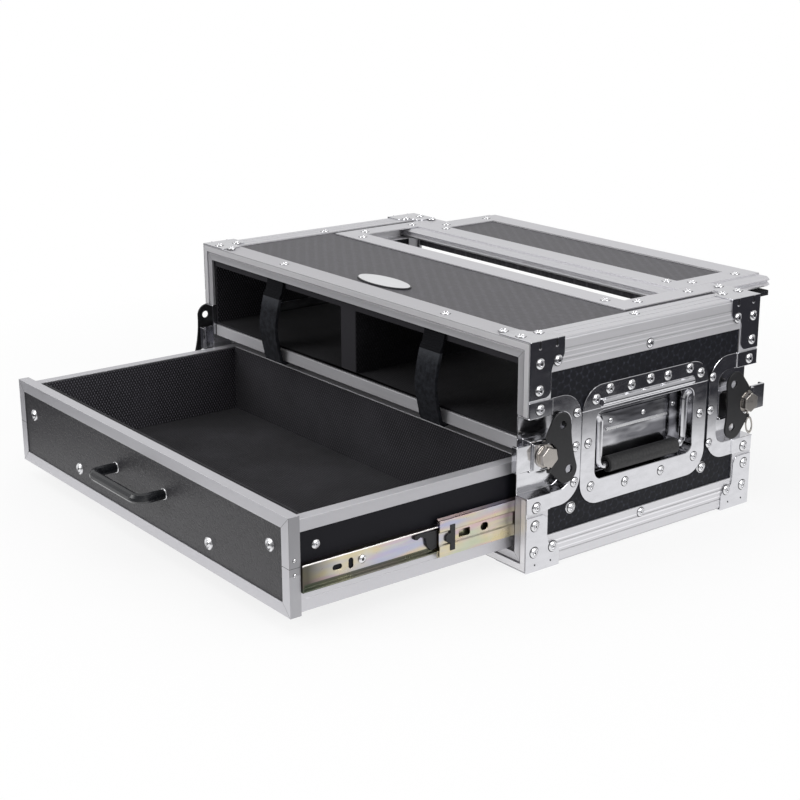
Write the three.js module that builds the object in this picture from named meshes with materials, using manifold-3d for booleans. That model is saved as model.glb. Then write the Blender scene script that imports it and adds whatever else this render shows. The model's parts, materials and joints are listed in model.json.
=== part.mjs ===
// A plywood road case with aluminium edges: an open two-bay compartment above a drawer on
// ball-bearing slides, a sliding hatch in the rear of its top, recessed spring handles and
// recessed butterfly latches. Millimetres. X runs along the front, Y to the rear and Z up.
// Inside the case group, Y is zero at the front face and Z at the bottom of the aluminium;
// the exported origin is the centre of the bottom panel's underside.
import * as THREE from 'three';
import { mergeVertices } from 'three/addons/utils/BufferGeometryUtils.js';
import Module from 'manifold-3d';

const wasm = await Module();
wasm.setup();

// Driving dimensions of the case.
const caseWidth = 533;
const caseDepth = 294;
const caseHeight = 209;
const panelThickness = 9;
const profileWall = 1.5;
const profileLeg = 29.5;
const frameFace = 15;
const frameFlange = 26;
const shelfRise = 5.7;
const shelfHeight = caseHeight / 2 + shelfRise;
const drawerTravel = 237.6;
const hatchTravel = 73.5;

// Clearances and steps shared by every piece.
const seatGap = 0.3;
const cutOverrun = 5;
const curveSteps = 6;
const roundSteps = 20;
const bendSteps = 4;
const barSides = 10;

// Places that several pieces share.
const halfWidth = caseWidth / 2;
const panelOuter = halfWidth - profileWall;
const panelInner = panelOuter - panelThickness;
const halfDepth = caseDepth / 2;
const halfTurn = Math.PI;
const quarterTurn = Math.PI / 2;

// Materials.
const metal = (name, color, roughness) => new THREE.MeshStandardMaterial({ name, color, roughness, metalness: 1 });
const dull = (name, color, roughness) => new THREE.MeshStandardMaterial({ name, color, roughness, metalness: 0 });
const aluminium = metal('satin_aluminium', 0xc4c3c6, 0.36);
const platedSteel = metal('bright_plated_steel', 0xd8d9dc, 0.14);
const yellowZinc = metal('yellow_zinc_steel', 0xcfc092, 0.34);
const dullSteel = metal('dull_plated_steel', 0xa8a49e, 0.38);
const blackSteel = metal('black_coated_steel', 0x202226, 0.45);
const laminate = dull('black_laminate', 0x26272b, 0.42);
const boardEdge = dull('black_laminated_board', 0x232428, 0.5);
const foam = dull('black_foam', 0x1c1c1e, 0.92);
const webbing = dull('black_webbing', 0x17181b, 0.9);
const blackPlastic = dull('black_plastic', 0x1d1e21, 0.5);
const gripRubber = dull('black_grip_rubber', 0x2a2b2d, 0.7);
const pullCoat = dull('satin_black_coat', 0x16181c, 0.35);

// Geometry helpers.
const xAxis = new THREE.Vector3(1, 0, 0);
const yAxis = new THREE.Vector3(0, 1, 0);
const zAxis = new THREE.Vector3(0, 0, 1);

function signedVolume(geometry) {
  const corner = [new THREE.Vector3(), new THREE.Vector3(), new THREE.Vector3()];
  const { position } = geometry.attributes;
  const { index } = geometry;
  let total = 0;
  for (let at = 0; at < index.count; at += 3) {
    corner.forEach((point, k) => point.fromBufferAttribute(position, index.getX(at + k)));
    total += corner[0].dot(corner[1].clone().cross(corner[2]));
  }
  return total;
}

// Shared vertices merged and every face pointing out.
function closed(geometry) {
  const bare = geometry.clone();
  bare.deleteAttribute('normal');
  bare.deleteAttribute('uv');
  const merged = mergeVertices(bare);
  if (signedVolume(merged) < 0) {
    const turned = Array.from(merged.index.array);
    for (let at = 0; at < turned.length; at += 3) {
      [turned[at + 1], turned[at + 2]] = [turned[at + 2], turned[at + 1]];
    }
    merged.setIndex(turned);
  }
  return merged;
}

function toSolid(geometry) {
  const body = closed(geometry);
  const vertProperties = new Float32Array(body.attributes.position.array);
  const triVerts = new Uint32Array(body.index.array);
  return new wasm.Manifold(new wasm.Mesh({ numProp: 3, vertProperties, triVerts }));
}

function toGeometry(solid) {
  const mesh = solid.getMesh();
  const geometry = new THREE.BufferGeometry();
  geometry.setAttribute('position', new THREE.BufferAttribute(mesh.vertProperties, 3));
  geometry.setIndex(Array.from(mesh.triVerts));
  return geometry;
}

const join = (...pieces) => toGeometry(pieces.map(toSolid).reduce((whole, piece) => whole.add(piece)));
const cut = (piece, ...tools) =>
  toGeometry(tools.map(toSolid).reduce((whole, tool) => whole.subtract(tool), toSolid(piece)));

const common = (piece, other) => toGeometry(toSolid(piece).intersect(toSolid(other)));

// A block between two corners.
function block([x0, x1], [y0, y1], [z0, z1]) {
  return new THREE.BoxGeometry(x1 - x0, y1 - y0, z1 - z0)
    .translate((x0 + x1) / 2, (y0 + y1) / 2, (z0 + z1) / 2);
}

function extrude(shape, depth, steps = curveSteps) {
  return new THREE.ExtrudeGeometry(shape, { depth, bevelEnabled: false, curveSegments: steps });
}

// An outline in Y and Z, thick along X.
function sidePlate(shape, [x0, x1], steps) {
  const turn = new THREE.Matrix4().makeBasis(yAxis, zAxis, xAxis).setPosition(x0, 0, 0);
  return extrude(shape, x1 - x0, steps).applyMatrix4(turn);
}

// An outline in X and Z, run along Y.
function depthBar(shape, [y0, y1], steps) {
  const turn = new THREE.Matrix4().makeBasis(xAxis, zAxis, yAxis.clone().negate()).setPosition(0, y1, 0);
  return extrude(shape, y1 - y0, steps).applyMatrix4(turn);
}

// An outline in X and Y, thick along Z.
const flatPlate = (shape, [z0, z1], steps) => extrude(shape, z1 - z0, steps).translate(0, 0, z0);

function outline(points) {
  return new THREE.Shape(points.map(([a, b]) => new THREE.Vector2(a, b)));
}

// A rectangle with a corner radius for each end: near is low a, far is high a.
function roundedRectangle([a0, a1], [b0, b1], nearRadius, farRadius = nearRadius) {
  const shape = new THREE.Shape();
  shape.moveTo(a0 + nearRadius, b0);
  shape.lineTo(a1 - farRadius, b0);
  if (farRadius > 0) shape.absarc(a1 - farRadius, b0 + farRadius, farRadius, -quarterTurn, 0, false);
  shape.lineTo(a1, b1 - farRadius);
  if (farRadius > 0) shape.absarc(a1 - farRadius, b1 - farRadius, farRadius, 0, quarterTurn, false);
  shape.lineTo(a0 + nearRadius, b1);
  if (nearRadius > 0) shape.absarc(a0 + nearRadius, b1 - nearRadius, nearRadius, quarterTurn, halfTurn, false);
  shape.lineTo(a0, b0 + nearRadius);
  if (nearRadius > 0) {
    shape.absarc(a0 + nearRadius, b0 + nearRadius, nearRadius, halfTurn, halfTurn + quarterTurn, false);
  }
  return shape;
}

// A section carried past a row of stations, each a function that places a section point:
// the corners come out mitred. A ring has no ends.
function sweep(section, stations, ring = false) {
  const flat = section.map(([u, v]) => new THREE.Vector2(u, v));
  if (THREE.ShapeUtils.isClockWise(flat)) flat.reverse();
  const count = flat.length;
  const positions = stations.flatMap((place) => flat.flatMap(({ x, y }) => place(x, y)));
  const index = [];
  const spans = ring ? stations.length : stations.length - 1;
  for (let span = 0; span < spans; span += 1) {
    const near = span * count;
    const far = ((span + 1) % stations.length) * count;
    for (let k = 0; k < count; k += 1) {
      const next = (k + 1) % count;
      index.push(near + k, near + next, far + next, near + k, far + next, far + k);
    }
  }
  if (!ring) {
    const last = (stations.length - 1) * count;
    THREE.ShapeUtils.triangulateShape(flat, []).forEach(([a, b, c]) => {
      index.push(c, b, a, last + a, last + b, last + c);
    });
  }
  const geometry = new THREE.BufferGeometry();
  geometry.setAttribute('position', new THREE.Float32BufferAttribute(positions, 3));
  geometry.setIndex(index);
  return geometry;
}

// A round bar along one axis, centred at a point.
function roundBar(axis, radius, [from, to], centre = [0, 0, 0], steps = roundSteps) {
  const bar = new THREE.CylinderGeometry(radius, radius, to - from, steps).translate(0, (from + to) / 2, 0);
  if (axis === xAxis) bar.rotateZ(-quarterTurn);
  if (axis === zAxis) bar.rotateX(quarterTurn);
  return bar.translate(...centre);
}

// The right-hand, front or top piece carried to another side of the case.
function reflected(geometry, { left = false, rear = false, low = false }) {
  const copy = geometry.clone().scale(left ? -1 : 1, rear ? -1 : 1, low ? -1 : 1);
  return copy.translate(0, rear ? caseDepth : 0, low ? caseHeight : 0);
}

function addMesh(group, name, geometry, material) {
  const body = closed(geometry);
  body.computeVertexNormals();
  const mesh = new THREE.Mesh(body, material);
  mesh.name = name;
  group.add(mesh);
  return mesh;
}

const sides = [
  { side: 'right', left: false },
  { side: 'left', left: true },
];
const ends = [
  { end: 'front', rear: false },
  { end: 'rear', rear: true },
];

const roadCase = new THREE.Group();
const shell = new THREE.Group();
shell.position.set(0, -halfDepth, -profileWall);
roadCase.add(shell);

// Latch and handle dishes: pressed steel cups let into the side panels. The values come first,
// because panels, shelf and foam are all cut to clear them.
const latchRise = 0.9;
const latchCupHeight = 72;
const latchCupReach = 51.5;
const latchCupDepth = 13;
const latchCupRadius = 12;
const latchRimWidth = 15;
const latchRimReach = 64;
const latchRimRadius = 24;
const dishWall = 1.2;
const handleForward = 1.5;
const handleCupHeight = 64;
const handleDrop = 3.5;
const handleCupDepth = 16;
const handleCupRadius = 9;
const handleRimWidth = 17.6;
const dishGap = 0.4;
const handleCupLength = caseDepth - 2 * (latchRimReach + handleRimWidth + dishGap + handleForward);
const handleRimBelow = 23;
const handleRimAbove = 25.7;
const handleRimRadius = 23;

const latchCentreHeight = caseHeight / 2 + latchRise;
const handleCentreDepth = halfDepth - handleForward;
const latchCupHalf = latchCupHeight / 2;
const latchWallHalf = latchCupHalf + dishWall;
const latchCutLow = latchCentreHeight - latchWallHalf - seatGap;
const latchCutHigh = latchCentreHeight + latchWallHalf + seatGap;
const latchCutReach = latchCupReach + dishWall + seatGap;
const latchFloorInner = halfWidth - latchCupDepth - dishWall;
const handleCupDepths = [handleCentreDepth - handleCupLength / 2, handleCentreDepth + handleCupLength / 2];
const handleCupBottom = caseHeight / 2 - handleDrop - handleCupHeight / 2;
const handleCupHeights = [handleCupBottom, handleCupBottom + handleCupHeight];
const handleFloorInner = halfWidth - handleCupDepth - dishWall;
const handlePinStub = 2.5;
const handleCutMargin = dishWall + seatGap + handlePinStub;

// The space that the three cups of the right-hand side take out of boards and foam.
const cupSpaces = [
  block([latchFloorInner - seatGap, halfWidth], [-cutOverrun, latchCutReach], [latchCutLow, latchCutHigh]),
  block(
    [latchFloorInner - seatGap, halfWidth],
    [caseDepth - latchCutReach, caseDepth + cutOverrun],
    [latchCutLow, latchCutHigh],
  ),
  block(
    [handleFloorInner - seatGap, halfWidth],
    [handleCupDepths[0] - handleCutMargin, handleCupDepths[1] + handleCutMargin],
    [handleCupHeights[0] - dishWall - seatGap, handleCupHeights[1] + dishWall + seatGap],
  ),
];
const allCupSpaces = sides.flatMap(({ left }) => cupSpaces.map((space) => reflected(space, { left })));

// Plywood panels, held by their edges in the aluminium profiles.
const profileBridge = 1.5;
const panelStart = 8;
const lipSurface = profileWall + panelThickness;
const jointReach = lipSurface + profileBridge;
const boardDepths = [panelStart, caseDepth - panelStart];
const boardHalfWidth = halfWidth - jointReach;

sides.forEach(({ side, left }) => {
  const board = block([panelInner, panelOuter], boardDepths, [jointReach, caseHeight - jointReach]);
  addMesh(shell, `side_panel_${side}`, reflected(cut(board, ...cupSpaces), { left }), laminate);
});

// Where the profile legs lap a panel it is set back by the seat gap, and its open field stands
// level with the laminate. That leaves the field flat and free for something laid on it.
const fieldHalfWidth = halfWidth - profileLeg - seatGap;
const fieldStart = frameFlange + seatGap;
addMesh(
  shell,
  'bottom_panel',
  join(
    block([-boardHalfWidth, boardHalfWidth], boardDepths, [profileWall + seatGap, lipSurface]),
    block([-fieldHalfWidth, fieldHalfWidth], [fieldStart, caseDepth - fieldStart], [profileWall, lipSurface]),
  ),
  laminate,
);

// The hatch opening in the rear of the top: a frame of channel profile on three sides, whose
// upper lip lies on the panel and whose lower lip carries the hatch's tongues.
const hatchFrameSpace = 8.5;
const hatchOpeningDepth = 118.5;
const hatchFrameFlange = 25;
const hatchChannelReach = 15;
const hatchLipInset = 4;
const hatchOpeningHalf = halfWidth - profileLeg - hatchFrameSpace - hatchFrameFlange;
const hatchOpeningFront = caseDepth - hatchOpeningDepth;
const topUnderside = caseHeight - profileWall;
const hatchChannelHeight = 10.8;
const hatchWebOuter = hatchChannelReach + profileWall;

const topFieldEnd = hatchOpeningFront - hatchFrameFlange - seatGap;
addMesh(
  shell,
  'top_panel',
  join(
    cut(
      block(
        [-boardHalfWidth, boardHalfWidth],
        boardDepths,
        [topUnderside - panelThickness, topUnderside - seatGap],
      ),
      block(
        [-hatchOpeningHalf - hatchWebOuter, hatchOpeningHalf + hatchWebOuter],
        [hatchOpeningFront - hatchWebOuter, caseDepth + cutOverrun],
        [0, caseHeight + cutOverrun],
      ),
    ),
    block(
      [-fieldHalfWidth, fieldHalfWidth],
      [fieldStart, topFieldEnd],
      [topUnderside - panelThickness, topUnderside],
    ),
  ),
  laminate,
);

const channelSection = [
  [0, caseHeight],
  [hatchFrameFlange, caseHeight],
  [hatchFrameFlange, topUnderside],
  [hatchWebOuter, topUnderside],
  [hatchWebOuter, topUnderside - hatchChannelHeight - profileWall],
  [hatchLipInset, topUnderside - hatchChannelHeight - profileWall],
  [hatchLipInset, topUnderside - hatchChannelHeight],
  [hatchChannelReach, topUnderside - hatchChannelHeight],
  [hatchChannelReach, topUnderside],
  [0, topUnderside],
];
addMesh(
  shell,
  'hatch_frame',
  sweep(channelSection, [
    (s, z) => [hatchOpeningHalf + s, caseDepth, z],
    (s, z) => [hatchOpeningHalf + s, hatchOpeningFront - s, z],
    (s, z) => [-hatchOpeningHalf - s, hatchOpeningFront - s, z],
    (s, z) => [-hatchOpeningHalf - s, caseDepth, z],
  ]),
  aluminium,
);

// Front and rear frames: a tongued profile whose channel grips the panel edges. The posts stop
// above and below the latch dishes. u runs in from the outer face, v back from the front.
const tongueWidth = 6.5;
const grooveWidth = 1.5;
const grooveDepth = 2.5;
const faceInset = 0.8;
const faceLip = 4;
const channelLip = 10;
const frameSection = [
  [0, frameFlange],
  [0, 0],
  [tongueWidth, 0],
  [tongueWidth, grooveDepth],
  [tongueWidth + grooveWidth, grooveDepth],
  [tongueWidth + grooveWidth, faceInset],
  [frameFace, faceInset],
  [frameFace, faceLip],
  [lipSurface + profileWall, faceLip],
  [lipSurface + profileWall, panelStart + channelLip],
  [lipSurface, panelStart + channelLip],
  [lipSurface, panelStart],
  [profileWall, panelStart],
  [profileWall, frameFlange],
];

addMesh(
  shell,
  'front_frame_upper',
  sweep(frameSection, [
    (u, v) => [halfWidth - u, v, latchCutHigh],
    (u, v) => [halfWidth - u, v, caseHeight - u],
    (u, v) => [u - halfWidth, v, caseHeight - u],
    (u, v) => [u - halfWidth, v, latchCutHigh],
  ]),
  aluminium,
);

const lowerFrame = (depthAt) => sweep(frameSection, [
  (u, v) => [halfWidth - u, depthAt(v), latchCutLow],
  (u, v) => [halfWidth - u, depthAt(v), u],
  (u, v) => [u - halfWidth, depthAt(v), u],
  (u, v) => [u - halfWidth, depthAt(v), latchCutLow],
]);
const rearUpperPost = sweep(frameSection, [
  (u, v) => [halfWidth - u, caseDepth - v, latchCutHigh],
  (u, v) => [halfWidth - u, caseDepth - v, caseHeight - u],
  (u, v) => [hatchOpeningHalf + hatchFrameFlange + seatGap, caseDepth - v, caseHeight - u],
]);

// The edge profile between the frames: a ribbed outer angle bridged to an inner angle, with a
// panel edge in each of the two channels. p runs in from the side face, q down from the top.
const edgeRadius = 3;
const innerLeg = 10;
const ribWidth = 1.1;
const ribDepth = 0.45;
const ribShares = [0.68, 0.36];
const bridgeEnd = lipSurface + profileBridge;

function ribbedLeg(placePoint) {
  return ribShares.flatMap((share) => {
    const middle = profileLeg * share;
    return [
      placePoint(0, middle + ribWidth / 2),
      placePoint(ribDepth, middle + ribWidth / 2),
      placePoint(ribDepth, middle - ribWidth / 2),
      placePoint(0, middle - ribWidth / 2),
    ];
  });
}

const roundedEdge = Array.from({ length: curveSteps + 1 }, (unused, step) => {
  const angle = (step / curveSteps) * quarterTurn;
  return [edgeRadius * (1 - Math.cos(angle)), edgeRadius * (1 - Math.sin(angle))];
});
const edgeSection = [
  [0, profileLeg],
  ...ribbedLeg((across, along) => [across, along]),
  ...roundedEdge,
  ...ribbedLeg((across, along) => [along, across]).reverse(),
  [profileLeg, 0],
  [profileLeg, profileWall],
  [profileWall + profileBridge, profileWall],
  [bridgeEnd, lipSurface],
  [lipSurface + innerLeg, lipSurface],
  [lipSurface + innerLeg, lipSurface + profileWall],
  [lipSurface + profileWall, lipSurface + profileWall],
  [lipSurface + profileWall, lipSurface + innerLeg],
  [lipSurface, lipSurface + innerLeg],
  [lipSurface, bridgeEnd],
  [profileWall, profileWall + profileBridge],
  [profileWall, profileLeg],
];
const topEdgeProfile = sweep(edgeSection, [
  (p, q) => [halfWidth - p, frameFlange, caseHeight - q],
  (p, q) => [halfWidth - p, caseDepth - frameFlange, caseHeight - q],
]);
sides.forEach(({ side, left }) => {
  addMesh(shell, `top_profile_${side}`, reflected(join(topEdgeProfile, rearUpperPost), { left }), aluminium);
});
addMesh(
  shell,
  'base_frame',
  join(
    lowerFrame((v) => v),
    lowerFrame((v) => caseDepth - v),
    reflected(topEdgeProfile, { low: true }),
    reflected(topEdgeProfile, { low: true, left: true }),
  ),
  aluminium,
);

// Corner braces: a folded plate on the side and the top of every corner, with a waisted leg
// down the post.
const braceThickness = 1.2;
const braceReach = 40;
const braceShoulder = 20;
const braceWaist = 25;
const braceLatchGap = 1.6;
const braceCorner = 7;
const braceSweep = 12;
const braceInset = 0.4;
const braceDrop = caseHeight / 2 - latchRise - latchCupHalf - latchRimWidth - braceLatchGap;

function braceSide() {
  const shape = new THREE.Shape();
  const top = caseHeight + braceThickness;
  const shoulder = caseHeight - braceShoulder;
  const foot = caseHeight - braceDrop;
  shape.moveTo(braceInset, top);
  shape.lineTo(braceReach, top);
  shape.lineTo(braceReach, shoulder + braceCorner);
  shape.absarc(braceReach - braceCorner, shoulder + braceCorner, braceCorner, 0, -quarterTurn, true);
  shape.quadraticCurveTo(braceWaist, shoulder, braceWaist, shoulder - braceSweep);
  shape.lineTo(braceWaist, foot + braceCorner);
  shape.absarc(braceWaist - braceCorner, foot + braceCorner, braceCorner, 0, -quarterTurn, true);
  shape.lineTo(braceInset, foot);
  return sidePlate(shape, [halfWidth, halfWidth + braceThickness]);
}

function braceTop() {
  const outer = halfWidth + braceThickness;
  const shape = new THREE.Shape();
  shape.moveTo(outer, braceInset);
  shape.lineTo(outer, braceReach);
  shape.lineTo(halfWidth - braceWaist + braceCorner, braceReach);
  shape.absarc(halfWidth - braceWaist + braceCorner, braceReach - braceCorner, braceCorner, quarterTurn, halfTurn);
  shape.lineTo(halfWidth - braceWaist, braceWaist + braceCorner);
  shape.absarc(halfWidth - braceWaist - braceCorner, braceWaist + braceCorner, braceCorner, 0, -quarterTurn, true);
  shape.lineTo(halfWidth - braceReach + braceCorner, braceWaist);
  shape.absarc(halfWidth - braceReach + braceCorner, braceWaist - braceCorner, braceCorner, quarterTurn, halfTurn);
  shape.lineTo(halfWidth - braceReach, braceInset);
  return flatPlate(shape, [caseHeight, caseHeight + braceThickness]);
}

const brace = join(braceSide(), braceTop());
ends.forEach(({ end, rear }) => sides.forEach(({ side, left }) => {
  addMesh(shell, `brace_top_${end}_${side}`, reflected(brace, { left, rear }), platedSteel);
  addMesh(shell, `brace_base_${end}_${side}`, reflected(brace, { left, rear, low: true }), platedSteel);
}));

// Shelf between the bays and the drawer, with an aluminium channel on its front edge.
const shelfThickness = 9.6;
const shelfTrimFront = 3.5;
const shelfTrimWall = 1.2;
const shelfTrimLeg = 11.5;
const shelfTop = shelfHeight + shelfThickness;
const shelfTrimHalf = halfWidth - frameFace - seatGap;
addMesh(
  shell,
  'shelf_panel',
  cut(
    block(
      [-panelInner, panelInner],
      [shelfTrimFront + shelfTrimWall, caseDepth - panelStart],
      [shelfHeight, shelfTop],
    ),
    ...allCupSpaces,
  ),
  boardEdge,
);
const trimSection = [
  [shelfTrimFront, shelfHeight - shelfTrimWall],
  [shelfTrimFront + shelfTrimLeg, shelfHeight - shelfTrimWall],
  [shelfTrimFront + shelfTrimLeg, shelfHeight],
  [shelfTrimFront + shelfTrimWall, shelfHeight],
  [shelfTrimFront + shelfTrimWall, shelfTop],
  [shelfTrimFront + shelfTrimLeg, shelfTop],
  [shelfTrimFront + shelfTrimLeg, shelfTop + shelfTrimWall],
  [shelfTrimFront, shelfTop + shelfTrimWall],
];
addMesh(
  shell,
  'shelf_trim',
  sweep(trimSection, [
    (y, z) => [-shelfTrimHalf, y, z],
    (y, z) => [shelfTrimHalf, y, z],
  ]),
  aluminium,
);

// Foam lining of the two bays, with the foam divider between them.
const liningStart = 4.6;
const liningEnd = hatchOpeningFront + seatGap;
const liningWall = 4.5;
const liningFloor = 3.6;
const liningCeiling = 10.5;
const dividerThickness = 25;
const dividerOffset = -2.7;
const liningOuter = halfWidth - jointReach;
const liningInner = liningOuter - liningWall;
const liningTop = caseHeight - jointReach;
const bayFloor = shelfTop + liningFloor;
const bayCeiling = liningTop - liningCeiling;
const dividerFaces = [dividerOffset - dividerThickness / 2, dividerOffset + dividerThickness / 2];

const bayHollows = [[-liningInner, dividerFaces[0]], [dividerFaces[1], liningInner]]
  .map((span) => block(span, [0, caseDepth], [bayFloor, bayCeiling]));
addMesh(
  shell,
  'bay_lining',
  cut(
    block([-liningOuter, liningOuter], [liningStart, liningEnd], [shelfTop, liningTop]),
    ...bayHollows,
    block(
      [-halfWidth, halfWidth],
      [0, shelfTrimFront + shelfTrimLeg + seatGap],
      [0, shelfTop + shelfTrimWall + seatGap],
    ),
    block(
      [-hatchOpeningHalf - hatchWebOuter - seatGap, hatchOpeningHalf + hatchWebOuter + seatGap],
      [hatchOpeningFront - hatchWebOuter - seatGap, caseDepth],
      [topUnderside - hatchChannelHeight - profileWall - seatGap, caseHeight],
    ),
    ...allCupSpaces,
  ),
  foam,
);

// Hook-and-loop straps that hang down the front of each bay: from between the foam and the
// frame's lip, down in front of the shelf trim and back under the shelf. Each is doubled
// below its lap.
const strapWidth = 30;
const strapThickness = 2.2;
const strapLapThickness = 1.4;
const strapLapShares = [0.14, 0.8];
const strapHold = 24;
const strapBow = 6.7;
const strapBowShare = 0.44;
const strapSteps = 28;
const strapLeftOffset = -127;
const strapRightOffset = 136;

function strapRoute() {
  const hung = liningStart - seatGap - strapThickness / 2;
  const high = caseHeight - frameFace - seatGap;
  const low = shelfHeight - shelfTrimWall - seatGap - strapThickness / 2;
  const front = shelfTrimFront - seatGap - strapThickness - strapLapThickness;
  const drop = high - low;
  const points = [
    [hung, high],
    [hung - strapThickness / 2, high - strapThickness * 2],
    [front - strapBow, low + drop * strapBowShare],
    [front - strapThickness, low + shelfThickness],
    [front, low + strapThickness / 2],
    [shelfTrimFront + strapThickness, low],
    [shelfTrimFront + strapHold, low],
  ];
  return new THREE.CatmullRomCurve3(points.map(([y, z]) => new THREE.Vector3(0, y, z)), false, 'centripetal');
}

function strap(offset) {
  const route = strapRoute();
  const inner = [];
  const outer = [];
  for (let step = 0; step <= strapSteps; step += 1) {
    const share = step / strapSteps;
    const point = route.getPointAt(share);
    const along = route.getTangentAt(share);
    const outward = new THREE.Vector2(along.z, -along.y);
    const lapped = share > strapLapShares[0] && share < strapLapShares[1];
    const reach = strapThickness / 2 + (lapped ? strapLapThickness : 0);
    inner.push([point.y - (outward.x * strapThickness) / 2, point.z - (outward.y * strapThickness) / 2]);
    outer.push([point.y + outward.x * reach, point.z + outward.y * reach]);
  }
  return sweep([...inner, ...outer.reverse()], [
    (y, z) => [offset - strapWidth / 2, y, z],
    (y, z) => [offset + strapWidth / 2, y, z],
  ]);
}
addMesh(shell, 'strap_left', strap(strapLeftOffset), webbing);
addMesh(shell, 'strap_right', strap(strapRightOffset), webbing);

// Handle dishes: a pressed cup with a wide rim on the panel, a cover plate over the bail's
// pins and a rolled ridge along it. The bail is a sprung bar with a rubber grip.
const rimThickness = 1.4;
const coverHeight = 22.5;
const ridgeRadius = 3.6;
const ridgeLength = 118;
const ridgeAbove = 8;
const embossHeight = 1.2;
const embossShare = 0.7;
const bailRadius = 3.5;
const bailBend = 7;
const bailPivotDrop = 4.5;
const bailPivotDepth = 5;
const bailArmInset = 8.6;
const gripRadius = 7.5;
const gripFootGap = 2;
const bailLength = handleCupHeight - bailPivotDrop - gripRadius - gripFootGap;
const gripShare = 0.84;
const sleeveSteps = 24;

const handleRim = {
  depths: [handleCupDepths[0] - handleRimWidth, handleCupDepths[1] + handleRimWidth],
  heights: [handleCupHeights[0] - handleRimBelow, handleCupHeights[1] + handleRimAbove],
};
const bailPivotHeight = handleCupHeights[1] - bailPivotDrop;
const bailPivotAcross = halfWidth - bailPivotDepth;
const rimInner = panelOuter;
const rimOuter = panelOuter + rimThickness;

function handleDish() {
  const grow = (span, by) => [span[0] - by, span[1] + by];
  const wallRadius = handleCupRadius + dishWall;
  const rim = roundedRectangle(handleRim.depths, handleRim.heights, handleRimRadius);
  const cupOutside = roundedRectangle(grow(handleCupDepths, dishWall), grow(handleCupHeights, dishWall), wallRadius);
  const cupInside = roundedRectangle(handleCupDepths, handleCupHeights, handleCupRadius);
  const floorLevel = halfWidth - handleCupDepth;
  const coverLow = handleRim.heights[1] - coverHeight;
  const cover = common(
    sidePlate(rim, [rimOuter, rimOuter + dishWall]),
    block([0, caseWidth], [0, caseDepth], [coverLow, caseHeight]),
  );
  const ridgeHeight = handleCupHeights[1] + ridgeAbove;
  const ridgeDepths = [handleCentreDepth - ridgeLength / 2, handleCentreDepth + ridgeLength / 2];
  const ridge = common(
    roundBar(yAxis, ridgeRadius, ridgeDepths, [rimOuter + dishWall, 0, ridgeHeight]),
    block([rimOuter, caseWidth], [0, caseDepth], [0, caseHeight]),
  );
  const embossDepths = [
    handleCentreDepth - (handleCupLength * embossShare) / 2,
    handleCentreDepth + (handleCupLength * embossShare) / 2,
  ];
  const middleHeight = (handleCupHeights[0] + handleCupHeights[1]) / 2;
  const embossHeights = [
    middleHeight - (handleCupHeight * embossShare) / 2,
    middleHeight + (handleCupHeight * embossShare) / 2,
  ];
  const body = join(
    sidePlate(rim, [rimInner, rimOuter]),
    sidePlate(cupOutside, [handleFloorInner, rimOuter]),
    cover,
    ridge,
  );
  const pinHoles = roundBar(
    yAxis,
    bailRadius + seatGap,
    [handleCupDepths[0] - handleCutMargin, handleCupDepths[1] + handleCutMargin],
    [bailPivotAcross, 0, bailPivotHeight],
  );
  const hollow = cut(body, sidePlate(cupInside, [floorLevel, rimOuter + cutOverrun]), pinHoles);
  const emboss = roundedRectangle(embossDepths, embossHeights, handleCupRadius / 2);
  const restored = join(hollow, cover, ridge);
  return join(restored, sidePlate(emboss, [floorLevel - dishWall / 2, floorLevel + embossHeight]));
}

// A bent bar's centre line in Y and Z: straight runs between corners, each corner an arc.
function bentPath(corners, radius) {
  const points = [corners[0]];
  for (let at = 1; at < corners.length - 1; at += 1) {
    const corner = corners[at];
    const before = corners[at - 1].clone().sub(corner).normalize();
    const after = corners[at + 1].clone().sub(corner).normalize();
    const centre = corner.clone().addScaledVector(before, radius).addScaledVector(after, radius);
    for (let step = 0; step <= bendSteps; step += 1) {
      const angle = (step / bendSteps) * quarterTurn;
      points.push(centre.clone()
        .addScaledVector(after, -radius * Math.cos(angle))
        .addScaledVector(before, -radius * Math.sin(angle)));
    }
  }
  return [...points, corners[corners.length - 1]];
}

// A round section carried along a centre line that stays in the Y-Z plane.
function bentBar(corners, bendRadius, radius) {
  const path = bentPath(corners.map(([y, z]) => new THREE.Vector3(0, y, z)), bendRadius);
  const circle = Array.from({ length: barSides }, (unused, k) => {
    const angle = (k / barSides) * 2 * halfTurn;
    return [radius * Math.cos(angle), radius * Math.sin(angle)];
  });
  const stations = path.map((point, k) => {
    const before = path[Math.max(k - 1, 0)];
    const after = path[Math.min(k + 1, path.length - 1)];
    const across = new THREE.Vector3().crossVectors(xAxis, after.clone().sub(before)).normalize();
    return (u, v) => point.clone().addScaledVector(xAxis, u).addScaledVector(across, v).toArray();
  });
  return sweep(circle, stations);
}

function handleBail() {
  const arm = handleCupLength / 2 - bailArmInset;
  const pin = handleCupLength / 2 + dishWall + handlePinStub - seatGap;
  const corners = [[-pin, 0], [-arm, 0], [-arm, -bailLength], [arm, -bailLength], [arm, 0], [pin, 0]];
  return bentBar(corners, bailBend, bailRadius);
}

sides.forEach(({ side, left }) => {
  addMesh(shell, `handle_dish_${side}`, reflected(handleDish(), { left }), platedSteel);
  const pivot = new THREE.Group();
  pivot.position.set(left ? -bailPivotAcross : bailPivotAcross, handleCentreDepth, bailPivotHeight);
  shell.add(pivot);
  addMesh(pivot, `handle_bail_${side}`, handleBail(), platedSteel);
  const gripHalf = (handleCupLength * gripShare) / 2 - bailArmInset;
  const grip = cut(
    roundBar(yAxis, gripRadius, [-gripHalf, gripHalf], [0, 0, -bailLength], sleeveSteps),
    roundBar(yAxis, bailRadius + seatGap, [-handleCupLength, handleCupLength], [0, 0, -bailLength]),
  );
  addMesh(pivot, `handle_grip_${side}`, grip, gripRubber);
});

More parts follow.
